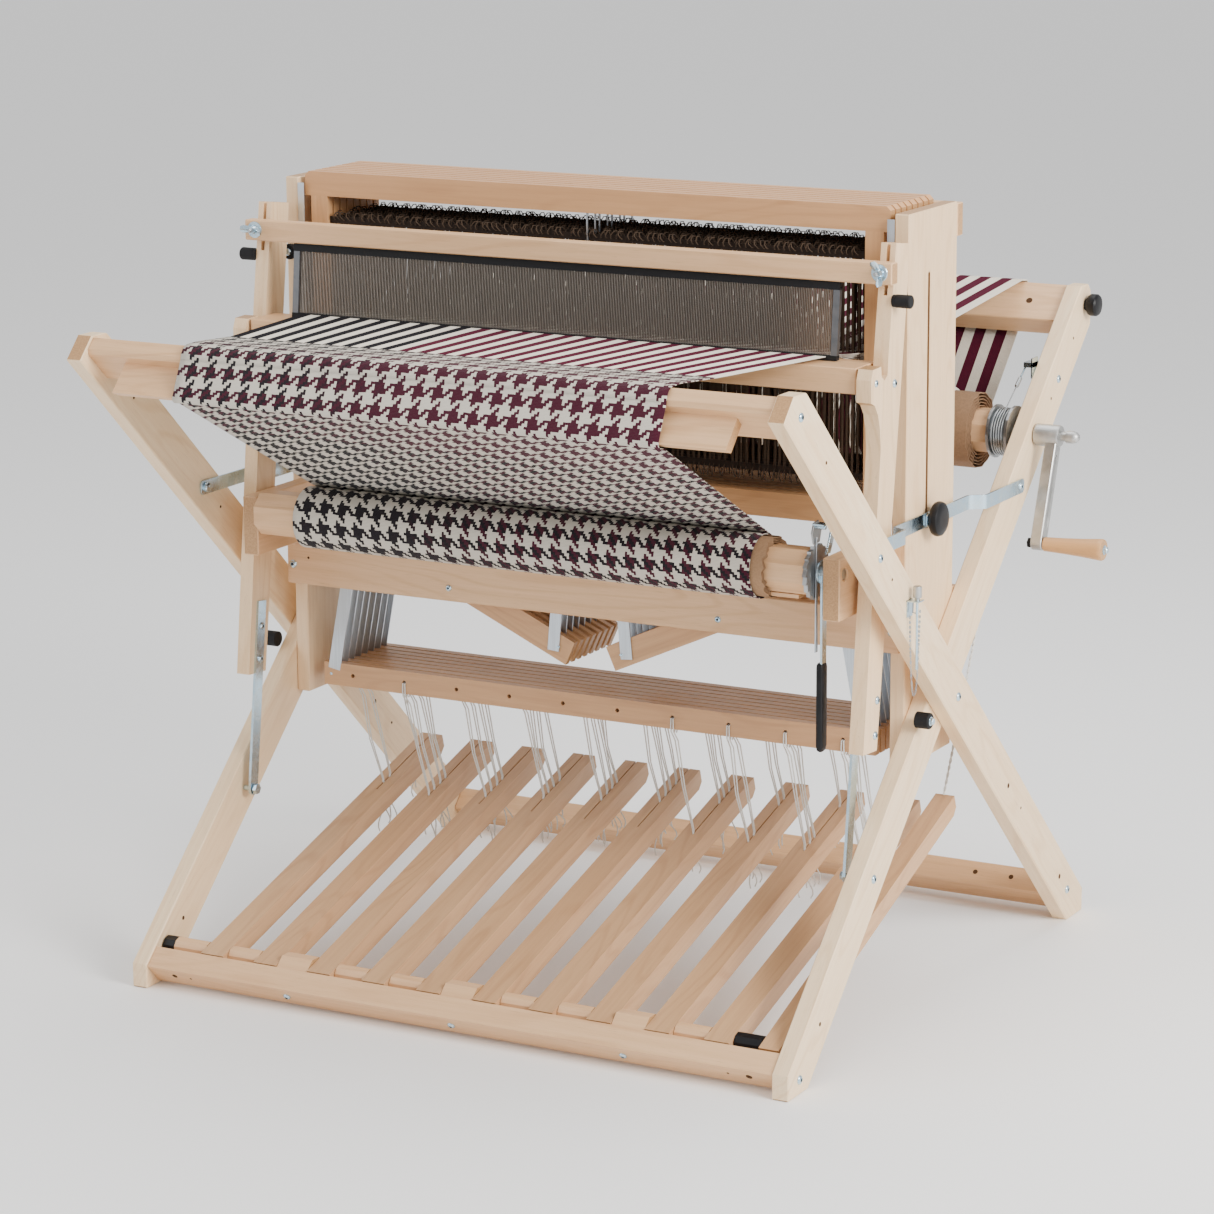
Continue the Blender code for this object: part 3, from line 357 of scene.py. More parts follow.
MAPLE_JACK = {s: wood(f"maple_jack_{n}", (math.cos(JACK_SLOPE), 0, s * math.sin(JACK_SLOPE)),
                      (0.62, 0.37, 0.19), (0.46, 0.25, 0.115), 8.1)
              for n, s in (("left", -1), ("right", 1))}
GRIP_WOOD = wood("grip_wood", ACROSS, (0.62, 0.36, 0.16), (0.46, 0.24, 0.1), 9.2)
ZINC = metal("zinc_plate", (0.46, 0.64, 0.78), (0.6, 0.7, 0.74), 0.24)
STEEL = metal("grey_steel", (0.36, 0.38, 0.4), (0.46, 0.47, 0.47), 0.36)
CAST = metal("cast_aluminium", (0.42, 0.42, 0.41), (0.54, 0.54, 0.53), 0.42, 180.0, 0.0003)
REED_WIRE = brushed("reed_wire", UP, (0.46, 0.41, 0.36), 0.4)
REED_BAR = metal("reed_bar", (0.13, 0.14, 0.15), (0.19, 0.19, 0.2), 0.46)
ALUMINIUM = brushed("drawn_aluminium", UP, (0.62, 0.67, 0.72), 0.36)
BLACK = plastic("black_plastic", (0.005, 0.005, 0.006), 0.34)
RUBBER = plastic("black_rubber", (0.008, 0.008, 0.009), 0.62, 1500.0)
TAPE = plastic("black_tape", (0.007, 0.007, 0.008), 0.55, 1200.0)
# Painted shade: dark brown for the mouths of bored holes, standing in for the shade inside them.
HOLE_PAINTED_SHADE = plastic("bored_hole_painted_shade", (0.06, 0.028, 0.012), 0.9, 400.0)
CREAM_YARN = yarn("cream_yarn", CREAM)
INK_YARN = yarn("ink_yarn", (0.01, 0.009, 0.012), fuzz=0.03)
WINE_YARN = yarn("wine_yarn", (0.085, 0.007, 0.024), fuzz=0.04)
HEDDLE = yarn("heddle_cord", (0.085, 0.056, 0.038), fuzz=0.05)
HEDDLE_BAR = plastic("heddle_bar", (0.02, 0.012, 0.008), 0.5, 900.0)
TIE_CORD = yarn("tie_cord", (0.86, 0.85, 0.8), 1400.0)
KRAFT = paper("kraft_paper", (0.36, 0.21, 0.11))
CORRUGATED = paper("corrugated_card", (0.33, 0.19, 0.1))
WEB_CLOTH = houndstooth("houndstooth_web", [(0.066, WINE), (0.345, INK)])
ROLL_CLOTH = houndstooth("houndstooth_roll", [])


# ---------------------------------------------------------------- mesh making
def angles(count):
    """Angles evenly spaced round a circle."""
    return [2 * math.pi * k / count for k in range(count)]


def add_object(name, data):
    made = bpy.data.objects.new(name, data)
    bpy.context.scene.collection.objects.link(made)
    return made


class Maker:
    """Gathers small shapes into one mesh. Each shape has one material."""

    def __init__(self):
        self.mesh = bmesh.new()
        self.materials = []

    def slot(self, material):
        if material not in self.materials:
            self.materials.append(material)
        return self.materials.index(material)

    def skin(self, rings, material, caps=True, smooth=True):
        """Quads between closed rings of points, each ring the same length."""
        index = self.slot(material)
        rows = [[self.mesh.verts.new(p) for p in ring] for ring in rings]
        faces = []
        for low, high in zip(rows, rows[1:]):
            for k in range(len(low)):
                n = (k + 1) % len(low)
                faces.append(self.mesh.faces.new((low[k], low[n], high[n], high[k])))
        for face in faces:
            face.smooth = smooth
        if caps:
            faces.append(self.mesh.faces.new(rows[0][::-1]))
            faces.append(self.mesh.faces.new(rows[-1]))
        for face in faces:
            face.material_index = index

    def lathe(self, start, axis, profile, material, sides=16, smooth=True):
        """A turned solid: profile is (distance along the axis, radius) from start."""
        axis = Vector(axis).normalized()
        u = axis.orthogonal().normalized()
        v = axis.cross(u)
        rings = []
        for step, radius in profile:
            centre = Vector(start) + axis * step
            rings.append([centre + radius * (u * math.cos(t) + v * math.sin(t))
                          for t in angles(sides)])
        self.skin(rings, material, smooth=smooth)

    def tube(self, points, radius, material, sides):
        """A round cord or rod along points."""
        points = [Vector(p) for p in points]
        rings = []
        normal = None
        for k, point in enumerate(points):
            ahead = points[min(k + 1, len(points) - 1)] - points[max(k - 1, 0)]
            ahead.normalize()
            normal = ahead.orthogonal() if normal is None else normal - ahead * normal.dot(ahead)
            normal.normalize()
            side = ahead.cross(normal)
            rings.append([point + radius * (normal * math.cos(t) + side * math.sin(t))
                          for t in (2 * math.pi * (n + 0.5) / sides for n in range(sides))])
        self.skin(rings, material)

    def slab(self, outline, low, high, material):
        """A flat outline of (y, z) pairs, pushed from low to high along x."""
        self.skin([[at(x, y, z) for y, z in outline] for x in (low, high)], material, smooth=False)

    def block(self, low, high, material):
        corners = [(low[0], low[1]), (high[0], low[1]), (high[0], high[1]), (low[0], high[1])]
        self.skin([[at(x, y, z) for x, y in corners] for z in (low[2], high[2])], material, smooth=False)

    def finish(self, name, body, bevel=0.0, replaces=(), loose=False):
        bmesh.ops.recalc_face_normals(self.mesh, faces=self.mesh.faces)
        data = bpy.data.meshes.new(name)
        self.mesh.to_mesh(data)
        self.mesh.free()
        for material in self.materials:
            data.materials.append(material)
        data.set_sharp_from_angle(angle=math.radians(42))
        made = add_object(name, data)
        if bevel:
            soften(made, bevel)
        if replaces:
            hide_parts(*replaces)
        if not loose:
            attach(made, body)
        return made


def soften(thing, width):
    bevel = thing.modifiers.new("soft edges", 'BEVEL')
    bevel.width = width
    bevel.segments = 2
    bevel.limit_method = 'ANGLE'
    bevel.angle_limit = math.radians(35)
    bevel.harden_normals = True


def bolt(maker, x, y, z, out, size=0.0065):
    """A domed zinc head with a hexagon socket whose floor is a black disc, painted shade for the dark inside
    of the socket; out is the direction it faces.
    """
    axis = Vector(out)
    start = at(x, y, z)
    tall = 0.48 * size
    dome = [(0.1, 1.0), (0.5, 0.92), (0.82, 0.7), (1.0, 0.42), (1.0, 0.4), (0.3, 0.38)]
    maker.lathe(start, axis, [(-0.0005, size)] + [(a * tall, b * size) for a, b in dome], ZINC, 24)
    # Painted shade: the black hexagon disc on the floor of the socket recess stands in for the shade inside
    # the socket.
    maker.lathe(start + axis * (0.32 * tall), axis, [(0.0, 0.37 * size), (0.0002, 0.36 * size)],
                TAPE, 6, smooth=False)


def hole_shade_dish(maker, x, y, z, out, radius):
    """Painted shade for the mouth of a bored hole: a shallow dark dish just proud of the face, whose colour
    stands in for the shade inside the hole.
    """
    maker.lathe(at(x, y, z), out, [(-0.0015, radius), (0.00015, radius), (0.0002, radius * 0.86)], HOLE_PAINTED_SHADE, 14)


def mm(*profile):
    """Pairs given in millimetres."""
    return [(a / 1000, b / 1000) for a, b in profile]


# ---------------------------------------------------------------- the CAD nodes' own materials
def dress(node, *rules, bevel=0.0):
    """Materials for a CAD node. A rule is (material, test) with a test on a face's centre
    in loom coordinates, and the last one a bare material; the first rule that holds is used."""
    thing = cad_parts[node]
    thing.data.materials.clear()
    rules = [*rules[:-1], (rules[-1], lambda place: True)]
    for material, _ in rules:
        thing.data.materials.append(material)
    for face in thing.data.polygons:
        place = face.center - SHIFT
        face.material_index = next(k for k, (_, test) in enumerate(rules) if test(place))
    if bevel:
        soften(thing, bevel)


# Faces on the inner walls of the castle slot; they get the painted-shade maple.
def in_castle_slot(place):
    return abs(place.y + 0.011) < 0.0055 and 0.69 < place.z < 1.062 and abs(abs(place.x) - 0.497) < 0.009


def dress_frame():
    for name, s in (("left", -1), ("right", 1)):
        dress(f"castle_side_{name}", (MAPLE_SLOT_PAINTED_SHADE, in_castle_slot), MAPLE_Z, bevel=0.0008)
        dress(f"cloth_arm_{name}", MAPLE_Y, bevel=0.0008)
        dress(f"breast_leg_{name}", MAPLE_BREAST_LEG_PAINTED_LIGHT, bevel=0.001)
        dress(f"back_leg_{name}", MAPLE_BACK_LEG_PAINTED_LIGHT, bevel=0.001)
        dress(f"beater_side_{name}",
              (ZINC, lambda p: abs(p.x) < 0.4938 or p.z < 0.411), MAPLE_Z, bevel=0.0012)
        dress(f"jack_bank_{name}",
              (STEEL, lambda p: math.hypot(abs(p.x) - JACK_PIVOT[0], p.z - JACK_PIVOT[1]) < 0.0043),
              MAPLE_JACK[s])
    for name in ("castle_front_rail", "castle_back_rail_low", "castle_back_rail_top", "rear_foot_rail",
                 "back_beam", "beater_handrail", "beater_sill"):
        dress(name, MAPLE_X, bevel=0.0008)
    dress("breast_beam", MAPLE_X, bevel=0.0018)
    dress("front_foot_rail",
          (BLACK, lambda p: near_rod(p) < 0.0158 and (p.x < -0.4855 or 0.432 < p.x < 0.473)),
          (STEEL, lambda p: near_rod(p) < 0.0045), MAPLE_X, bevel=0.0007)
    for k in range(1, 11):
        dress(f"treadle_{k}", MAPLE_TREADLE, bevel=0.0016)
    dress("brake_treadle", MAPLE_TREADLE, bevel=0.0016)
    for k in range(1, SHAFTS + 1):
        dress(f"shaft_{k}", (MAPLE_STILE, lambda p: abs(p.x) > 0.4385 and 0.738 < p.z < 1.117),
              MAPLE_SHAFT, bevel=0.0016)
        dress(f"lamm_{k}", MAPLE_LAMM, bevel=0.003)
    dress("cloth_beam", (STEEL, lambda p: p.x > 0.4402 or p.x < -0.4585), MAPLE_X, bevel=0.0008)
    dress("warp_beam", (STEEL, lambda p: p.x > 0.4695 or p.x < -0.4805), MAPLE_X, bevel=0.0008)
    dress("beater_pivot_bolt", ZINC)


def near_rod(place):
    return math.hypot(place.y - TREADLE_ROD[0], place.z - TREADLE_ROD[1])


# ---------------------------------------------------------------- castle
def castle_details():
    m = Maker()
    for s in (-1, 1):
        for face, out in ((-0.0822, -1), (0.0832, 1)):
            m.block((min(s * 0.4752, s * 0.4862), face - 0.0012 if out < 0 else face, 0.7),
                    (max(s * 0.4752, s * 0.4862), face if out < 0 else face + 0.0012, 1.137), ALUMINIUM)
    m.finish("shaft_guide_strips", "castle", 0.0004)
    m = Maker()
    for s in (-1, 1):
        bolt(m, s * 0.4975, -0.102, 0.559, (0, -1, 0), 0.0065)
        hole_shade_dish(m, s * 0.47, -0.102, 0.571, (0, -1, 0), 0.002)
        for z in (0.545, 0.573):
            bolt(m, s * 0.497, 0.103, z, (0, 1, 0), 0.0065)
        bolt(m, s * 0.497, 0.103, 1.118, (0, 1, 0), 0.0065)
        bolt(m, s * CASTLE_OUTER, -0.04, 0.38, (s, 0, 0), 0.0065)
        for y, z in ((-0.1, 0.625), (-0.1, 0.67)):
            bolt(m, s * 0.4605, y, z, (-s, 0, 0), 0.006)
    for s in (-1, 1):
        bolt(m, s * JACK_PIVOT[0], -0.102, JACK_PIVOT[1], (0, -1, 0), 0.005)
        bolt(m, s * JACK_PIVOT[0], 0.103, JACK_PIVOT[1], (0, 1, 0), 0.005)
    m.finish("castle_bolts", "castle")
    m = Maker()
    for s in (-1, 1):
        start = at(s * 0.4975, -0.0822, 1.034)
        m.lathe(start, (0, -1, 0), mm((0, 6), (4, 11.5), (11, 12), (13, 10.5)), RUBBER)
        m.lathe(start, (0, -1, 0), mm((12.5, 5.8), (16, 5.6), (17.2, 4)), ZINC, 12)
    m.finish("beater_bumpers", "castle", 0.0006)


def leg_details():
    breast = ((0.713, 0.0066), (0.371, 0.0062), (-0.59, 0.0066), (0.0, 0.0066))
    back = ((0.572, 0.0062), (0.374, 0.0), (-0.311, 0.0066), (-0.631, 0.0066))
    for body, place, bolts, holes, outer in (
            ("breast_frame", on_breast_leg, breast, ((0.607, 0.0026), (0.317, 0.0022), (-0.261, 0.004),
                                                     (-0.329, 0.0022), (-0.547, 0.004)), BREAST_LEG_OUTER),
            ("back_frame", on_back_leg, back, ((0.65, 0.0022), (0.535, 0.0022), (-0.544, 0.0032)),
             BACK_LEG_OUTER)):
        m = Maker()
        for s in (-1, 1):
            for along, size in bolts:
                if size:
                    bolt(m, s * outer, *place(along), (s, 0, 0), size)
            for along, radius in holes:
                hole_shade_dish(m, s * outer, *place(along), (s, 0, 0), radius)
                hole_shade_dish(m, s * (outer - 0.025), *place(along), (-s, 0, 0), radius)
        m.finish(f"{body}_bolts", body)
    m = Maker()
    for s in (-1, 1):
        start = at(s * BACK_LEG_OUTER, *on_back_leg(0.715))
        m.lathe(start, (s, 0, 0), mm((0, 9), (4, 9), (5.5, 15), (9, 16.8), (18, 16.8), (21, 14.5),
                (22, 10)), BLACK, 24)
        start = at(s * BACK_LEG_OUTER, -0.094, 0.436)
        m.lathe(start, (s, 0, 0), mm((0, 11.8), (20, 11.8), (21.5, 10.5)), RUBBER, 20)
        m.lathe(start, (s, 0, 0), mm((21.2, 6.6), (22.2, 6.6)), ZINC, 20)
        m.lathe(start, (s, 0, 0), mm((21.5, 5.6), (25.2, 5.4), (26.2, 4.4)), ZINC, 6, smooth=False)
    m.finish("back_frame_knobs", "back_frame", 0.0005)
    m = Maker()
    for x in (-3 * TREADLE_PITCH, 0.0, 3 * TREADLE_PITCH):
        y, z = on_back_leg(-0.6465, 0.012)
        bolt(m, x, y, z, -UP_BACK_LEG, 0.0058)
    for x, radius in ((-0.468, 0.0042), (0.468, 0.0048), (-0.44, 0.0018), (0.436, 0.0018)):
        y, z = on_back_leg(-0.6462, 0.014)
        hole_shade_dish(m, x, y, z, -UP_BACK_LEG, radius)
    m.finish("foot_rail_bolts", "back_frame")
    m = Maker()
    for s in (-1, 1):
        y, z = on_breast_leg(0.7437, 0.0)
        hole_shade_dish(m, s * 0.507, y, z - 0.004, UP_BREAST_LEG, 0.005)
        y, z = on_breast_leg(-0.6, 0.012)
        for x in (0.46, 0.4):
            hole_shade_dish(m, s * x, y, z, UP_BREAST_LEG, 0.004)
    m.finish("breast_frame_holes", "breast_frame")
    m = Maker()
    for s in (-1, 1):
        y, z = on_back_leg(0.695, -0.0085)
        hole_shade_dish(m, s * 0.455, y, z, OFF_BACK_LEG, 0.005)
        hole_shade_dish(m, s * 0.455, *on_back_leg(0.695, 0.0262), -OFF_BACK_LEG, 0.005)
    m.finish("back_beam_holes", "back_frame")


# ---------------------------------------------------------------- braces and knobs
def strip_between(m, route, sign, z, half, material, thickness=0.003):
    """A bent flat strip standing on edge. route lists (y, x of its inner face)."""
    steps = []
    for (y0, x0), (y1, x1) in zip(route, route[1:]):
        count = 6 if abs(x1 - x0) > 0.004 else 1
        for k in range(count):
            t = k / count
            ease = t * t * (3 - 2 * t) if count > 1 else t
            steps.append((y0 + (y1 - y0) * t, x0 + (x1 - x0) * ease))
    steps.append(route[-1])
    rings = []
    for k, (y, x) in enumerate(steps):
        near_end = min(k, len(steps) - 1 - k)
        tall = half * (0.62 if near_end == 0 else 1.0)
        ring = [(x, -tall), (x, tall), (x + thickness, tall), (x + thickness, -tall)]
        rings.append([at(sign * u, y, z + v) for u, v in ring])
    m.skin(rings, material, smooth=False)


def braces():
    front_y, front_z = on_breast_leg(BRACE_BOLT)
    rear_y = on_back_leg(BRACE_BOLT)[0]
    for name, s in (("left", -1), ("right", 1)):
        m = Maker()
        route = [(front_y - 0.0138, 0.5303), (front_y - 0.01, 0.5303), (-0.139, 0.5303), (-0.127, 0.509),
                 (-0.004, 0.509), (0.0028, 0.509)]
        strip_between(m, route, s, 0.7065, 0.0104, ZINC)
        m.lathe(at(s * 0.5303, front_y, front_z), (-s, 0, 0), mm((0, 7.8), (3.5, 7.4), (5, 5)), ZINC, 16)
        m.finish(f"front_brace_strip_{name}", f"front_brace_{name}", 0.0004,
                 replaces=(f"front_brace_{name}",))
        m = Maker()
        route = [(-0.0248, 0.5124), (-0.018, 0.5124), (0.118, 0.5124), (0.14, 0.5342),
                 (rear_y + 0.008, 0.5342), (rear_y + 0.0126, 0.5342)]
        strip_between(m, route, s, 0.7065, 0.0104, ZINC, 0.0027)
        bolt(m, s * 0.5368, rear_y, 0.7065, (s, 0, 0), 0.0058)
        m.lathe(at(s * 0.515, -0.011, 0.708), (s, 0, 0), mm((0, 10.5), (3.5, 11), (4.5, 20.5), (6.5, 23.5),
                (9.5, 24.8), (12.5, 25), (16.5, 23.6), (19, 20), (20, 12)), BLACK, 40)
        m.finish(f"rear_brace_strip_{name}", f"rear_brace_{name}", 0.0004,
                 replaces=(f"rear_brace_{name}",))


# ---------------------------------------------------------------- beater
def reed():
    m = Maker()
    low, high = (-0.17, 0.9512), (-0.1598, 1.0585)

    def on_reed(share):
        return low[0] + (high[0] - low[0]) * share, low[1] + (high[1] - low[1]) * share

    def strip(start, end, left, right, thick, material):
        (y0, z0), (y1, z1) = on_reed(start), on_reed(end)
        outline = [(y0 - thick, z0), (y0 + thick, z0), (y1 + thick, z1), (y1 - thick, z1)]
        m.slab(outline, left, right, material)

    strip(0.0, 0.06, -REED_HALF, REED_HALF, 0.0046, TAPE)
    strip(0.9, 1.0, -REED_HALF, REED_HALF, 0.0046, TAPE)
    for s in (-1, 1):
        strip(0.05, 0.92, min(s * 0.4325, s * REED_HALF), max(s * 0.4325, s * REED_HALF), 0.0036, REED_BAR)
    dents = 336
    (y0, z0), (y1, z1) = on_reed(0.05), on_reed(0.91)
    for k in range(dents):
        x = (k - (dents - 1) / 2) * (0.864 / (dents - 1))
        ring = [(-0.00026, -0.0014), (0.00026, -0.0014), (0.00026, 0.0014), (-0.00026, 0.0014)]
        m.skin([[at(x + a, y + b, z) for a, b in ring] for y, z in ((y0, z0), (y1, z1))], REED_WIRE,
               smooth=False)
    m.finish("reed_wires", "beater", replaces=("reed",))


def wing_nut(m, x, y, z, turn):
    """A wing nut on a broad washer, facing the weaver."""
    m.lathe(at(x, y, z), (0, -1, 0), mm((0, 11.8), (1.2, 12.2), (1.8, 11.6)), ZINC, 28)
    m.lathe(at(x, y - 0.0016, z), (0, -1, 0), mm((0, 7.4), (4, 6.2), (8.5, 5.2)), ZINC, 20)
    m.lathe(at(x, y - 0.008, z), (0, -1, 0), mm((0, 3), (7.5, 3), (8.5, 2.4)), STEEL, 12)
    for side in (-1, 1):
        direction = Vector((side * math.cos(turn), 0, side * math.sin(turn)))
        across = Vector((-math.sin(turn), 0, math.cos(turn)))
        root = at(x, y - 0.005, z)
        stations = ((0.004, 0.0042, 0.0018, 0.0), (0.009, 0.0052, 0.0014, -0.003),
                    (0.014, 0.0056, 0.0012, -0.006), (0.0175, 0.0036, 0.001, -0.008))
        rings = []
        for reach, wide, thick, forward in stations:
            middle = root + direction * reach + Vector((0, forward, 0))
            rings.append([middle + across * (wide * math.cos(t)) + Vector((0, thick * math.sin(t), 0))
                          for t in angles(10)])
        m.skin(rings, ZINC)


def beater_details():
    m = Maker()
    wing_nut(m, -0.505, -0.1722, 1.076, math.radians(172))
    wing_nut(m, 0.505, -0.1722, 1.076, math.radians(108))
    for s in (-1, 1):
        for z in (0.484, 0.435):
            y = BEATER_AXIS[0] + (z - BEATER_AXIS[1]) * math.tan(math.atan2(0.036, 0.283)) + 0.001
            bolt(m, s * 0.516, y + 0.012, z, (s, 0, 0), 0.0062)
            bolt(m, s * 0.4903, y, z, (-s, 0, 0), 0.0058)
        bolt(m, s * 0.516, -0.204, 0.93, (s, 0, 0), 0.0052)
        bolt(m, s * 0.516, -0.144, 0.921, (s, 0, 0), 0.0062)
    m.finish("beater_bolts", "beater")
    m = Maker()
    for s in (-1, 1):
        m.lathe(at(s * 0.5158, -0.15, 1.036), (s, 0, 0), mm((0, 8.6), (4, 8.6), (4.5, 9.2), (26, 9.4),
                (27.5, 8.2)), RUBBER, 24)
    m.finish("beater_pegs", "beater", 0.0004)
    m = Maker()
    m.lathe(at(0.509, *BEATER_AXIS), (-1, 0, 0), mm((0, 4), (20, 4)), STEEL, 12)
    m.lathe(at(0.49, *BEATER_AXIS), (-1, 0, 0), mm((0, 8.5), (1.2, 8.5)), ZINC, 20)
    m.lathe(at(0.4888, *BEATER_AXIS), (-1, 0, 0), mm((0, 6.6), (4.5, 6.6), (5.2, 5.6)), ZINC, 6,
            smooth=False)
    m.finish("beater_pivot_bolt_right", "beater_hanger")


# ---------------------------------------------------------------- shafts, heddles, lamms
def heddle(m, x, y, top, bottom, wave):
    """One cord heddle: two strands between the bars that meet at the eye, with a curl on top."""
    eye = EYE_Z
    for side in (-1, 1):
        spread = 0.0011 * side
        points = [at(x + spread, y, bottom), at(x + 0.6 * spread + wave, y, bottom + 0.05),
                  at(x + 0.9 * spread, y, eye - 0.008), at(x + 1.6 * spread, y, eye),
                  at(x + 0.9 * spread, y, eye + 0.008), at(x + 0.6 * spread - wave, y, top - 0.05),
                  at(x + spread, y, top)]
        m.tube(points, 0.00072, HEDDLE, 3)
    lean = random.uniform(-0.004, 0.004)
    loop = [at(x + lean * (1 + math.sin(t)) + 0.0022 * math.cos(t), y + 0.005 * math.cos(t),
               top + 0.0055 + 0.0062 * math.sin(t)) for t in angles(6)]
    m.tube(loop + loop[:1], 0.0009, HEDDLE, 3)
    tail = random.uniform(-0.005, 0.005)
    m.tube([at(x, y, bottom), at(x + tail * 0.4, y - 0.004, bottom - 0.007), at(x + tail, y, bottom - 0.018)],
           0.0008, HEDDLE, 3)


def shafts():
    per_shaft = 100
    for k in range(SHAFTS):
        y = shaft_y(k)
        m = Maker()
        for n in range(per_shaft):
            share = (n + 0.5 + random.uniform(-0.3, 0.3)) / per_shaft
            heddle(m, (2 * share - 1) * 0.432, y, HEDDLE_TOP, HEDDLE_BOTTOM, random.uniform(-0.0012, 0.0012))
        for z in (HEDDLE_TOP, HEDDLE_BOTTOM):
            m.block((-0.4395, y - 0.0006, z - 0.005), (0.4395, y + 0.0006, z + 0.005), HEDDLE_BAR)
        x = -0.001 + 0.003 * (k % 2)
        hook = [at(x, y - 0.002, 1.12), at(x, y - 0.004, 1.112), at(x, y - 0.004, 1.09),
                at(x, y - 0.003, 1.078), at(x, y + 0.001, 1.075), at(x, y + 0.003, 1.08)]
        m.tube(hook, 0.0016, ALUMINIUM, 6)
        m.finish(f"heddles_{k + 1}", f"shaft_{k + 1}")
        m = Maker()
        for s in (-1, 1):
            lift_strap(m, s, y)
        m.finish(f"lift_straps_{k + 1}", f"shaft_{k + 1}", 0.0003)


def flat_strap(m, low, high, width, y, thick):
    """A flat aluminium strap between two (x, z) points."""
    direction = Vector((high[0] - low[0], 0, high[1] - low[1])).normalized()
    across = Vector((direction.z, 0, -direction.x)) * (width / 2)
    deep = Vector((0, thick / 2, 0))
    ends = []
    for x, z in (low, high):
        middle = at(x, y, z)
        ends.append([middle - across - deep, middle + across - deep, middle + across + deep,
                     middle - across + deep])
    m.skin(ends, ALUMINIUM, smooth=False)


def lift_strap(m, s, y):
    """Strap from a jack's inner pin up to the bottom rail of the shaft."""
    low = (s * 0.0615, JACK_PIN_Z - 0.006)
    flat_strap(m, low, (s * 0.04, 0.7005), 0.019, y - 0.0064, 0.002)
    m.lathe(at(s * 0.053, y - 0.0074, JACK_PIN_Z), (0, -1, 0), mm((0, 2.8), (1, 2.6), (1.4, 1.6)), ZINC, 10)


def lamms():
    for k in range(SHAFTS):
        y = shaft_y(k)
        m = Maker()
        for s in (-1, 1):
            flat_strap(m, (s * 0.4445, 0.395), (s * 0.398, 0.638), 0.021, y - 0.0064, 0.002)
            m.lathe(at(s * 0.45, y - SHAFT_THICKNESS / 2, LAMM_HOLE_Z), (0, -1, 0),
                    mm((0, 2.6), (0.6, 2.5), (0.9, 1.5)), ZINC, 10)
        m.finish(f"lamm_straps_{k + 1}", f"lamm_{k + 1}", 0.0003)
        m = Maker()
        for j in range(1, 11):
            if (j - k - 1) % 8 in (0, 1, 6, 7) and not (j == 1 and k == 0):
                tie(m, (j - 5.5) * TREADLE_PITCH, y, k)
        m.finish(f"tie_cords_{k + 1}", f"lamm_{k + 1}")


def tie(m, x, y, k):
    """A tie-up cord: doubled over the lamm's hole, down through the treadle's slot to its tails."""
    slot_y = -0.01 + 0.017 * k
    reach = (slot_y - TREADLE_ROD[0]) / math.cos(TREADLE_SLOPE)
    top = TREADLE_ROD[1] + reach * math.sin(TREADLE_SLOPE) + 0.014 / math.cos(TREADLE_SLOPE)
    lean = random.uniform(-0.005, 0.005)
    half = SHAFT_THICKNESS / 2
    front, back = y - half - 0.0014, y + half + 0.0014
    for side in (-1, 1):
        u = side * 0.0016
        m.tube([at(x + u, y, LAMM_HOLE_Z), at(x + u, front, 0.3862), at(x + 1.3 * u, front, 0.374),
                at(x + 1.2 * u, front + 0.001, 0.366)], 0.0011, TIE_CORD, 5)
        m.tube([at(x + u, y, LAMM_HOLE_Z), at(x + u, back, 0.3862), at(x + 1.2 * u, back, 0.372),
                at(x + 1.1 * u, y + 0.002, 0.363)], 0.0011, TIE_CORD, 5)
        path = [at(x + 1.2 * u, front + 0.001, 0.3665), at(x + 1.6 * u + 0.2 * lean, y + 0.1 * (slot_y - y),
                0.35),
                at(x + 1.1 * u + lean, (y + slot_y) / 2, (0.35 + top) / 2),
                at(x + 0.6 * u + 0.3 * lean, slot_y, top + 0.006), at(x + 0.3 * u, slot_y, top - 0.002),
                at(x + 0.3 * u, slot_y, top - 0.034)]
        m.tube(path, CORD_RADIUS, TIE_CORD, 5)
        curl = random.uniform(0.01, 0.026) * random.choice((-1, 1))
        drop = random.uniform(0.026, 0.05)
        base = top - 0.034
        turn = random.uniform(0, 2 * math.pi)
        tail = []
        for n in range(7):
            t = n / 6
            tail.append(at(x + 0.3 * u + curl * math.sin(2.6 * t) * math.cos(turn) * t,
                           slot_y + curl * math.sin(2.2 * t + 0.4) * math.sin(turn) * t, base - drop * t))
        m.tube(tail, CORD_RADIUS, TIE_CORD, 5)
    m.lathe(at(x - 0.007, slot_y, top - 0.0365), (1, 0, 0), mm((0, 1.4), (1, 2.1), (13, 2.1), (14, 1.4)),
            BLACK, 8)
    m.lathe(at(x, slot_y - 0.001, top - 0.03), (0, 0, -1), mm((0, 1.6), (2, 3.4), (5, 3.4), (7, 1.8)),
            TIE_CORD, 10)


def jack_pins():
    for name, s in (("left", -1), ("right", 1)):
        m = Maker()
        for k in range(SHAFTS):
            y = shaft_y(k) - 0.005
            for x, z in ((0.053, JACK_PIN_Z), (0.395, 0.6268)):
                m.lathe(at(s * x, y, z), (0, -1, 0), mm((-1, 2.4), (0.4, 2.4), (0.7, 1.4)), ZINC, 10)
        m.finish(f"jack_pins_{name}", f"jack_bank_{name}")


# ---------------------------------------------------------------- warp
def end_yarn(i):
    if i % (2 * ENDS_PER_STRIPE) >= ENDS_PER_STRIPE:
        return CREAM_YARN
    return INK_YARN if i < 0.36 * ENDS else WINE_YARN


def thread_route(share, stations):
    """Points of one warp end: stations are (half width, y, z)."""
    return [at(share * half, y, z) for half, y, z in stations]


def fill_in(stations, count):
    """More stations, evenly spaced along the straight runs."""
    total = []
    for a, b in zip(stations, stations[1:]):
        total += [tuple(p + (q - p) * n / count for p, q in zip(a, b)) for n in range(count)]
    return total + [stations[-1]]


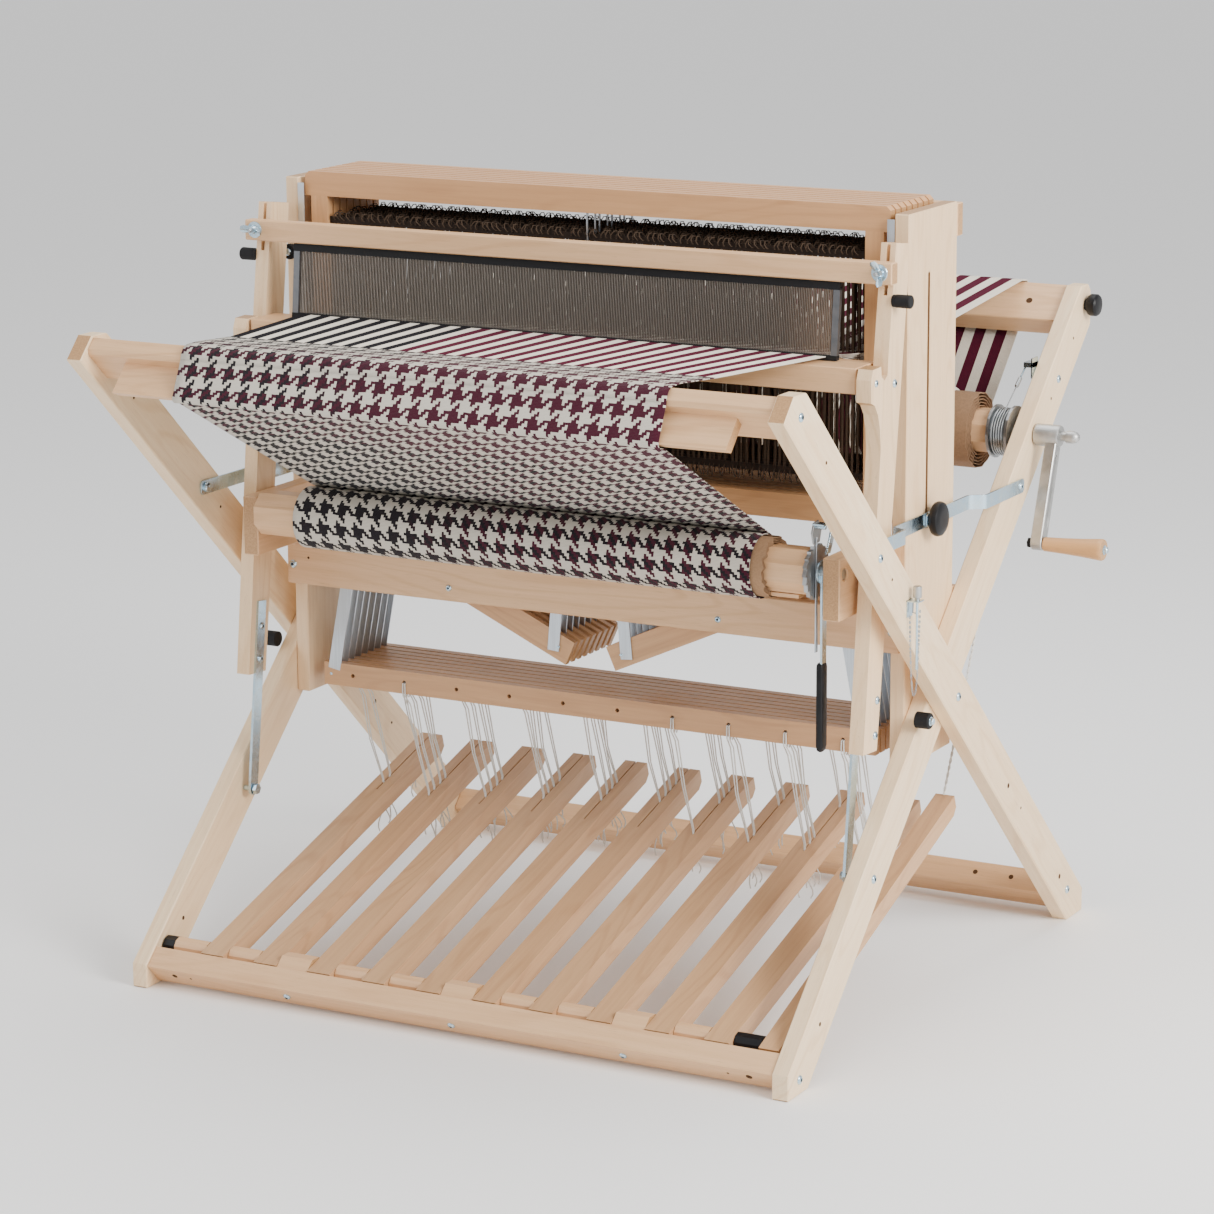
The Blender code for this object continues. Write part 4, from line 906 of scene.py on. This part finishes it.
def warp():
    for k in range(SHAFTS):
        y = shaft_y(k)
        eye = (0.4325, y, EYE_Z)
        front = [(HALF_AT_FELL, *FELL), (HALF_AT_REED, *REED_LINE), (0.43, -0.139, 0.953), eye]
        rear = [eye, (0.434, LEASE_Y, LEASE_Z)]
        for part, stations, count in (("front", front, 3), ("rear", rear, 4)):
            m = Maker()
            for i in range(k, ENDS, SHAFTS):
                share = (2 * i + 1) / ENDS - 1
                jitter = random.uniform(-0.0002, 0.0002)
                route = thread_route(share + jitter, fill_in(stations, count))
                m.tube(route, YARN_RADIUS, end_yarn(i), 4)
            made = m.finish(f"warp_{part}_{k + 1}", None, loose=True)
            if part == "front":
                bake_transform(made)
            else:
                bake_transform(made)
    m = Maker()
    drop = Maker()
    leave = tangent((0.5345, 0.947), WARP_AXIS, 0.0606, 1)
    for i in range(ENDS):
        share = (2 * i + 1) / ENDS - 1 + random.uniform(-0.0002, 0.0002)
        top = [(0.434, LEASE_Y, LEASE_Z), (HALF_AT_BEAM, *BACK_BEAM_TOP)]
        m.tube(thread_route(share, fill_in(top, 5)), YARN_RADIUS, end_yarn(i), 4)
        down = [(HALF_AT_BEAM, *BACK_BEAM_TOP), (HALF_AT_BEAM, 0.519, 0.971), (HALF_AT_BEAM, 0.529, 0.963),
                (HALF_AT_BEAM, 0.5345, 0.947), (0.42, *leave)]
        drop.tube(thread_route(share, down), 0.00118, end_yarn(i), 5)
    made = m.finish("warp_to_back_beam", None, loose=True)
    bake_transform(made)
    drop.finish("warp_behind_back_beam", "back_frame")


def tangent(point, centre, radius, side):
    """Where a line from point touches a circle, in (y, z)."""
    dy, dz = point[0] - centre[0], point[1] - centre[1]
    distance = math.hypot(dy, dz)
    angle = math.atan2(dz, dy) - side * math.acos(radius / distance)
    return centre[0] + radius * math.cos(angle), centre[1] + radius * math.sin(angle)


# ---------------------------------------------------------------- cloth
def cloth_strip(name, route, edges, start, material):
    """A sheet along route, a list of (y, z). edges gives (left, right) at each point."""
    m = bmesh.new()
    layer = m.loops.layers.uv.new("weave")
    columns = 60
    rows, lengths = [], []
    travelled = start
    for k, ((y, z), (left, right)) in enumerate(zip(route, edges)):
        if k:
            travelled += math.dist(route[k - 1], route[k])
        lengths.append(travelled)
        rows.append([m.verts.new(at(left + (right - left) * n / columns, y, z))
                     for n in range(columns + 1)])
    for r in range(len(rows) - 1):
        for n in range(columns):
            face = m.faces.new((rows[r][n], rows[r][n + 1], rows[r + 1][n + 1], rows[r + 1][n]))
            face.smooth = True
            for loop, (row, column) in zip(face.loops, ((r, n), (r, n + 1), (r + 1, n + 1), (r + 1, n))):
                across = (2 * column / columns - 1) * HALF_AT_FELL
                loop[layer].uv = (across, lengths[row])
    data = bpy.data.meshes.new(name)
    m.to_mesh(data)
    m.free()
    data.materials.append(material)
    made = add_object(name, data)
    thickness = made.modifiers.new("cloth", 'SOLIDIFY')
    thickness.thickness = 0.0012
    thickness.offset = 0.0
    return made, travelled


def spread(route, edges, step=0.006):
    """Route and edges with points no more than step apart."""
    new_route, new_edges = [route[0]], [edges[0]]
    for (a, b), (c, d) in zip(zip(route, route[1:]), zip(edges, edges[1:])):
        count = max(1, round(math.dist(a, b) / step))
        for n in range(1, count + 1):
            t = n / count
            new_route.append((a[0] + (b[0] - a[0]) * t, a[1] + (b[1] - a[1]) * t))
            new_edges.append((c[0] + (d[0] - c[0]) * t, c[1] + (d[1] - c[1]) * t))
    return new_route, new_edges


def web():
    """The woven cloth: over the breast beam, down to the roll, and round it."""
    beam = [FELL, (-0.52, 0.969), (-0.545, 0.9686), (-0.553, 0.965), (-0.5588, 0.957), (-0.5604, 0.949)]
    nose = [(-0.5604, 0.949), (-0.5832, 0.9), (-0.5828, 0.896), (-0.579, 0.8925), (-0.567, 0.8902)]
    touch = tangent(nose[-1], CLOTH_AXIS, 0.0462, 1)
    drop = [nose[-1], touch]
    top_edges = [(-HALF_AT_FELL, HALF_AT_FELL)] + [WEB_EDGES] * (len(beam) - 1)
    route, edges = spread(beam, top_edges)
    made, length = cloth_strip("web_over_breast_beam", route, edges, 0.0, WEB_CLOTH)
    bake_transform(made)
    route, edges = spread(nose, [WEB_EDGES] * len(nose))
    start = length
    made, length = cloth_strip("web_over_slat", route, edges, start, WEB_CLOTH)
    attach(made, "breast_frame")
    route, edges = spread(drop, [WEB_EDGES, ROLL_EDGES], 0.012)
    start = length
    made, length = cloth_strip("web_to_roll", route, edges, start, WEB_CLOTH)
    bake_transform(made)
    begin = math.atan2(touch[1] - CLOTH_AXIS[1], touch[0] - CLOTH_AXIS[0])
    turns, steps = 1.12, 72
    coil = []
    for k in range(steps + 1):
        t = k / steps
        radius = 0.0462 - 0.0022 * t
        angle = begin - 2 * math.pi * turns * t
        coil.append((CLOTH_AXIS[0] + radius * math.cos(angle), CLOTH_AXIS[1] + radius * math.sin(angle)))
    made, end = cloth_strip("web_on_roll", coil, [ROLL_EDGES] * len(coil), length, ROLL_CLOTH)
    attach(made, "cloth_beam")
    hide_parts("cloth_roll")


def spiral_ribbon(m, axis, left, right, inner, outer, turns, material, torn, flute=0.0):
    """Paper wound round a beam: a spiral ribbon, with flutes if it is corrugated."""
    steps = int(turns * 40)
    thick = 0.0009
    rows = []
    for k in range(steps + 1):
        t = k / steps
        angle = 2 * math.pi * turns * t
        radius = inner + (outer - inner) * t
        if flute:
            radius += flute * math.sin(angle * 17 * radius / 0.05)
        edge = right + torn * (math.sin(11 * angle) * 0.5 + math.sin(23 * angle + 1.0) * 0.5)
        y, z = math.cos(angle), math.sin(angle)
        rows.append([at(left, axis[0] + (radius - thick) * y, axis[1] + (radius - thick) * z),
                     at(edge, axis[0] + (radius - thick) * y, axis[1] + (radius - thick) * z),
                     at(edge, axis[0] + radius * y, axis[1] + radius * z),
                     at(left, axis[0] + radius * y, axis[1] + radius * z)])
    m.skin(rows, material)


def rolls():
    m = Maker()
    spiral_ribbon(m, CLOTH_AXIS, -0.379, 0.38, 0.0342, 0.0436, 4.2, KRAFT, torn=0.0035)
    m.finish("cloth_roll_paper", "cloth_beam")
    m = Maker()
    m.block((-0.396, CLOTH_AXIS[0] - 0.012, CLOTH_AXIS[1] - 0.0385),
            (0.422, CLOTH_AXIS[0] + 0.01, CLOTH_AXIS[1] - 0.0325), MAPLE_X)
    m.finish("apron_slat", "cloth_beam", 0.0012)
    m = Maker()
    spiral_ribbon(m, WARP_AXIS, -0.444, 0.446, 0.035, 0.0585, 5.0, CORRUGATED, torn=0.001, flute=0.0009)
    m.finish("warp_roll_card", "warp_beam")
    m = Maker()
    for i in range(0, ENDS, 2):
        low, high = (2 * i / ENDS - 1) * 0.398, (2 * (i + 2) / ENDS - 1) * 0.398
        middle = (low + high) / 2
        rings = []
        for x, radius in ((low, 0.0594), (middle, 0.0604), (high, 0.0594)):
            rings.append([at(x, WARP_AXIS[0] + radius * math.cos(t), WARP_AXIS[1] + radius * math.sin(t))
                          for t in angles(40)])
        m.skin(rings, end_yarn(i), caps=i in (0, ENDS - 2))
    m.finish("warp_on_roll", "warp_beam", replaces=("warp_roll",))


# ---------------------------------------------------------------- drive: drum, cable, crank, lever
def drum_cable():
    m = Maker()
    turns, sides = 11, 20
    points = []
    for k in range(turns * sides + 1):
        angle = 2 * math.pi * k / sides
        travel = k / (turns * sides) * 2.0
        share = travel if travel <= 1 else 2 - travel
        radius = 0.0332 + (0.002 if travel > 1 else 0.0)
        points.append(at(0.4755 + 0.0215 * share, WARP_AXIS[0] + radius * math.cos(angle),
                         WARP_AXIS[1] + radius * math.sin(angle)))
    m.tube(points, 0.0012, STEEL, 6)
    m.finish("brake_cable_on_drum", "warp_beam")
    m = Maker()
    hook_y, hook_z = on_back_leg(0.566, 0.04)
    start = tangent((hook_y, hook_z), WARP_AXIS, 0.0355, -1)
    low, high = Vector((0.49, *start)), Vector((0.496, hook_y, hook_z))
    run = (high - low).normalized()
    middle = low + (high - low) * 0.55
    m.tube([low + SHIFT, middle + SHIFT], 0.0009, STEEL, 6)
    m.lathe(middle + SHIFT, run, mm((0, 1.2), (2, 3), (18, 3), (20, 1.4)), STEEL, 12)
    m.tube([middle + run * 0.018 + SHIFT, high + SHIFT], 0.0014, ZINC, 6)
    m.block((0.4945, hook_y - 0.01, hook_z - 0.004), (0.5083, hook_y + 0.012, hook_z + 0.0035), ZINC)
    m.block((0.5062, hook_y - 0.01, hook_z - 0.02), (0.5083, hook_y + 0.012, hook_z + 0.01), ZINC)
    bolt(m, 0.5062, hook_y + 0.001, hook_z - 0.012, (-1, 0, 0), 0.0042)
    m.finish("brake_turnbuckle", "back_frame", 0.0003)
    m = Maker()
    low = Vector((0.4885, 0.108, 0.27))
    touch = tangent((low.y, low.z), WARP_AXIS, 0.0355, -1)
    high = Vector((0.486, *touch))
    count = 120
    run = (high - low).normalized()
    u = run.orthogonal().normalized()
    v = run.cross(u)
    for phase in (0.0, math.pi):
        points = []
        for k in range(count + 1):
            t = k / count
            angle = phase + 2 * math.pi * 26 * t
            points.append(low + (high - low) * t
                          + 0.0012 * (u * math.cos(angle) + v * math.sin(angle)) + SHIFT)
        m.tube(points, 0.0011, TIE_CORD, 4)
    made = m.finish("brake_cord", None, loose=True)
    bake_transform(made)


def stadium(width, length):
    """An upright slot shape round (0, 0): half circles on both ends."""
    half = (length - width) / 2
    points = []
    for centre, start in ((half, 0.0), (-half, math.pi)):
        for k in range(9):
            t = start + math.pi * k / 8
            points.append((width / 2 * math.cos(t), centre + width / 2 * math.sin(t)))
    return points


def crank():
    m = Maker()
    y0, z0 = WARP_AXIS
    down = Vector((0, -math.sin(CRANK_SWING), -math.cos(CRANK_SWING)))
    side = Vector((0, math.cos(CRANK_SWING), -math.sin(CRANK_SWING)))
    hub = at(0.535, y0, z0)
    m.lathe(hub, ACROSS, mm((0, 15), (1.5, 16.4), (36, 16.4), (39, 15), (39.4, 10.5)), CAST, 32)
    m.lathe(at(0.574, y0, z0), ACROSS, mm((0, 7.2), (9, 7.2), (9.5, 9.2), (19, 9.4), (24.5, 8.2), (28, 5),
            (29, 1.5)), CAST, 20)
    length = 0.176
    middle = Vector((0, y0, z0)) + down * 0.083 + SHIFT
    rings = []
    for x, inset in ((0.5545, 0.001), (0.5555, 0.0), (0.5705, 0.0), (0.5718, 0.0012)):
        outline = stadium(0.0225 - 2 * inset, length - 2 * inset)
        rings.append([middle + side * u * (1.0 - 0.12 * v / length) - down * v + Vector((x, 0, 0))
                      for u, v in outline])
    slot = stadium(0.0085, length * 0.62)
    for x, grow in ((0.5718, 1.25), (0.569, 1.0), (0.566, 0.9)):
        rings.append([middle + side * u * grow - down * v + Vector((x, 0, 0)) for u, v in slot])
    m.skin(rings, CAST)
    bolt(m, 0.566, y0 - CRANK_REACH * math.sin(CRANK_SWING) * 0.84,
         z0 - CRANK_REACH * math.cos(CRANK_SWING) * 0.8, ACROSS, 0.0036)
    gy, gz = y0 - CRANK_REACH * math.sin(CRANK_SWING), z0 - CRANK_REACH * math.cos(CRANK_SWING)
    m.lathe(at(0.5725, gy, gz), ACROSS, mm((0, 9.2), (1.2, 10.4), (30, 11.6), (60, 13.4), (86, 15.8),
            (91, 16), (93.5, 14.8), (94, 8)), GRIP_WOOD, 32)
    m.lathe(at(0.6662, gy, gz), ACROSS, mm((0, 7.2), (1.2, 7.2)), ZINC, 20)
    m.lathe(at(0.6672, gy, gz), ACROSS, mm((0, 5), (4, 4.8), (5.2, 3.6)), ZINC, 14)
    m.lathe(at(0.555, gy, gz), (-1, 0, 0), mm((0, 8), (6.5, 8), (7.5, 7)), BLACK, 6, smooth=False)
    m.finish("crank_handle", "warp_beam", 0.0003, replaces=("crank",))


def cloth_lever():
    m = Maker()
    y, z = CLOTH_AXIS
    m.slab([(y + 0.0165 * math.cos(t), z + 0.0165 * math.sin(t)) for t in angles(20)], 0.45, 0.4525, ZINC)
    m.slab([(y - 0.007, z + 0.004), (y + 0.007, z + 0.004), (y + 0.007, z - 0.16), (y - 0.007, z - 0.16)],
           0.4525, 0.4556, ZINC)
    rings = []
    for depth, inset in ((0.0, 0.0025), (0.002, 0.0006), (0.006, 0.0), (0.118, 0.0), (0.124, 0.0014),
                         (0.1265, 0.0045)):
        height = z - 0.128 - depth
        wide, thick = 0.0094 - inset, 0.0054 - inset * 0.7
        ring = []
        for t in angles(20):
            c, q = math.cos(t), math.sin(t)
            ring.append(at(0.452 + math.copysign(abs(q) ** 0.55, q) * thick,
                           y + math.copysign(abs(c) ** 0.45, c) * wide, height))
        rings.append(ring)
    m.skin(rings, BLACK)
    for drop in (0.06, 0.1):
        bolt(m, 0.4525, y, z - drop, (-1, 0, 0), 0.0038)
    m.finish("advance_lever", "cloth_lever", 0.0004, replaces=("cloth_lever",))
    m = Maker()
    m.slab([(y - 0.0095, z + 0.046), (y - 0.0075, z + 0.05), (y - 0.004, z - 0.112), (y - 0.012, z - 0.112)],
           0.4462, 0.4478, ALUMINIUM)
    pawl = [(y - 0.012, z + 0.04), (y + 0.006, z + 0.041), (y + 0.012, z + 0.058), (y + 0.002, z + 0.072),
            (y - 0.012, z + 0.07), (y - 0.018, z + 0.056)]
    m.slab(pawl, 0.4425, 0.4452, STEEL)
    m.block((0.4425, y - 0.014, z + 0.067), (0.46, y + 0.002, z + 0.0695), ZINC)
    m.tube([at(0.46, y - 0.006, z + 0.064), at(0.444, y - 0.006, z + 0.064)], 0.0028, ZINC, 10)
    m.slab([(y - 0.004, z + 0.026), (y + 0.01, z + 0.026), (y + 0.03, z + 0.062), (y + 0.016, z + 0.064)],
           0.4572, 0.4598, ZINC)
    m.finish("holding_pawl", "castle", 0.0004)


def chain_link(m, centre, along, turn, size, material):
    """One oval link lying along a direction."""
    along = along.normalized()
    u = along.orthogonal().normalized()
    u = Matrix.Rotation(turn, 3, along) @ u
    points = [centre + along * (size * math.sin(t)) + u * (0.55 * size * math.cos(t))
              for t in angles(8)]
    m.tube(points + points[:1], size * 0.22, material, 4)


def leg_hardware():
    """Bracket, threaded rod, knurled nut and chain on the right breast leg."""
    m = Maker()
    x = BREAST_LEG_OUTER
    y, z = -0.183, 0.618
    m.block((x, y - 0.009, z - 0.012), (x + 0.0016, y + 0.009, z + 0.012), ZINC)
    m.block((x, y - 0.009, z + 0.0104), (x + 0.019, y + 0.009, z + 0.012), ZINC)
    centre = at(x + 0.0115, y + 0.002, z + 0.012)
    m.lathe(centre, UP, mm((0, 3.4), (3, 3.4), (3.5, 5.8), (4.5, 6.2), (18.5, 6.2), (19.5, 5.4)), CAST, 24)
    m.lathe(centre - Vector((0, 0, 0.003)), (0, 0, -1), mm((0, 1.9), (95, 1.9), (95.8, 1.4)), ZINC, 10)
    m.tube([centre + Vector((-0.006, 0, -0.004)), centre + Vector((-0.006, -0.001, -0.018)),
            centre + Vector((0.002, 0, -0.019))], 0.0011, STEEL, 6)
    left, right = Vector((x + 0.004, y - 0.006, z - 0.004)), Vector((x + 0.015, y + 0.004, z + 0.004))
    bottom = z - 0.122
    route = []
    for k in range(81):
        t = k / 80
        route.append(Vector((left.x + (right.x - left.x) * t, left.y + (right.y - left.y) * t,
                             bottom + (left.z - bottom) * abs(2 * t - 1) ** 2.6)))
    travelled, count, gap = 0.0, 0, 0.0031
    for a, b in zip(route, route[1:]):
        travelled += (b - a).length
        while travelled > gap * count:
            chain_link(m, b + SHIFT, b - a, (count % 2) * math.pi / 2, 0.0022, STEEL)
            count += 1
    m.finish("leg_bracket_and_chain", "breast_frame", 0.0002)


# ---------------------------------------------------------------- stage
def stage():
    bpy.ops.mesh.primitive_plane_add(size=40, location=(0, 0, -0.0004))
    floor = bpy.context.object
    floor.name = "studio_floor"
    s = Shader("studio_floor", 0.75)
    s.base((0.96, 0.96, 0.96))
    floor.data.materials.append(s.material)
    world = bpy.data.worlds.new("studio")
    bpy.context.scene.world = world
    world.use_nodes = True
    background = world.node_tree.nodes["Background"]
    background.inputs[0].default_value = (1.0, 1.0, 1.0, 1.0)
    background.inputs[1].default_value = 0.92
    for name, place, power, size, colour in (
            ("key", (4.2, -1.2, 2.6), 300, 2.0, (1.0, 0.98, 0.95)),
            ("fill", (-3.2, -2.6, 2.2), 45, 2.6, (0.95, 0.97, 1.0)),
            ("top", (0.0, 0.8, 3.8), 60, 2.4, (1.0, 1.0, 1.0))):
        data = bpy.data.lights.new(name, 'AREA')
        data.energy = power
        data.size = size
        data.color = colour
        lamp = add_object(name, data)
        lamp.location = place
        lamp.rotation_euler = (Vector((0, 0, 0.6)) - Vector(place)).to_track_quat('-Z', 'Y').to_euler()


def camera():
    data = bpy.data.cameras.new("view")
    data.sensor_width = 36.0
    data.lens = 117.99
    data.clip_end = 60.0
    made = add_object("view", data)
    azimuth, elevation, roll = math.radians(28.495), math.radians(13.034), math.radians(-0.334)
    turn = (Matrix.Rotation(azimuth, 3, 'Z') @ Matrix.Rotation(math.pi / 2 - elevation, 3, 'X')
            @ Matrix.Rotation(roll, 3, 'Z'))
    made.rotation_euler = turn.to_euler()
    made.location = at(2.7332, -5.0569, 1.8536)
    bpy.context.scene.camera = made


camera()
stage()
dress_frame()
castle_details()
leg_details()
braces()
reed()
beater_details()
shafts()
lamms()
jack_pins()
warp()
web()
rolls()
drum_cable()
crank()
cloth_lever()
leg_hardware()
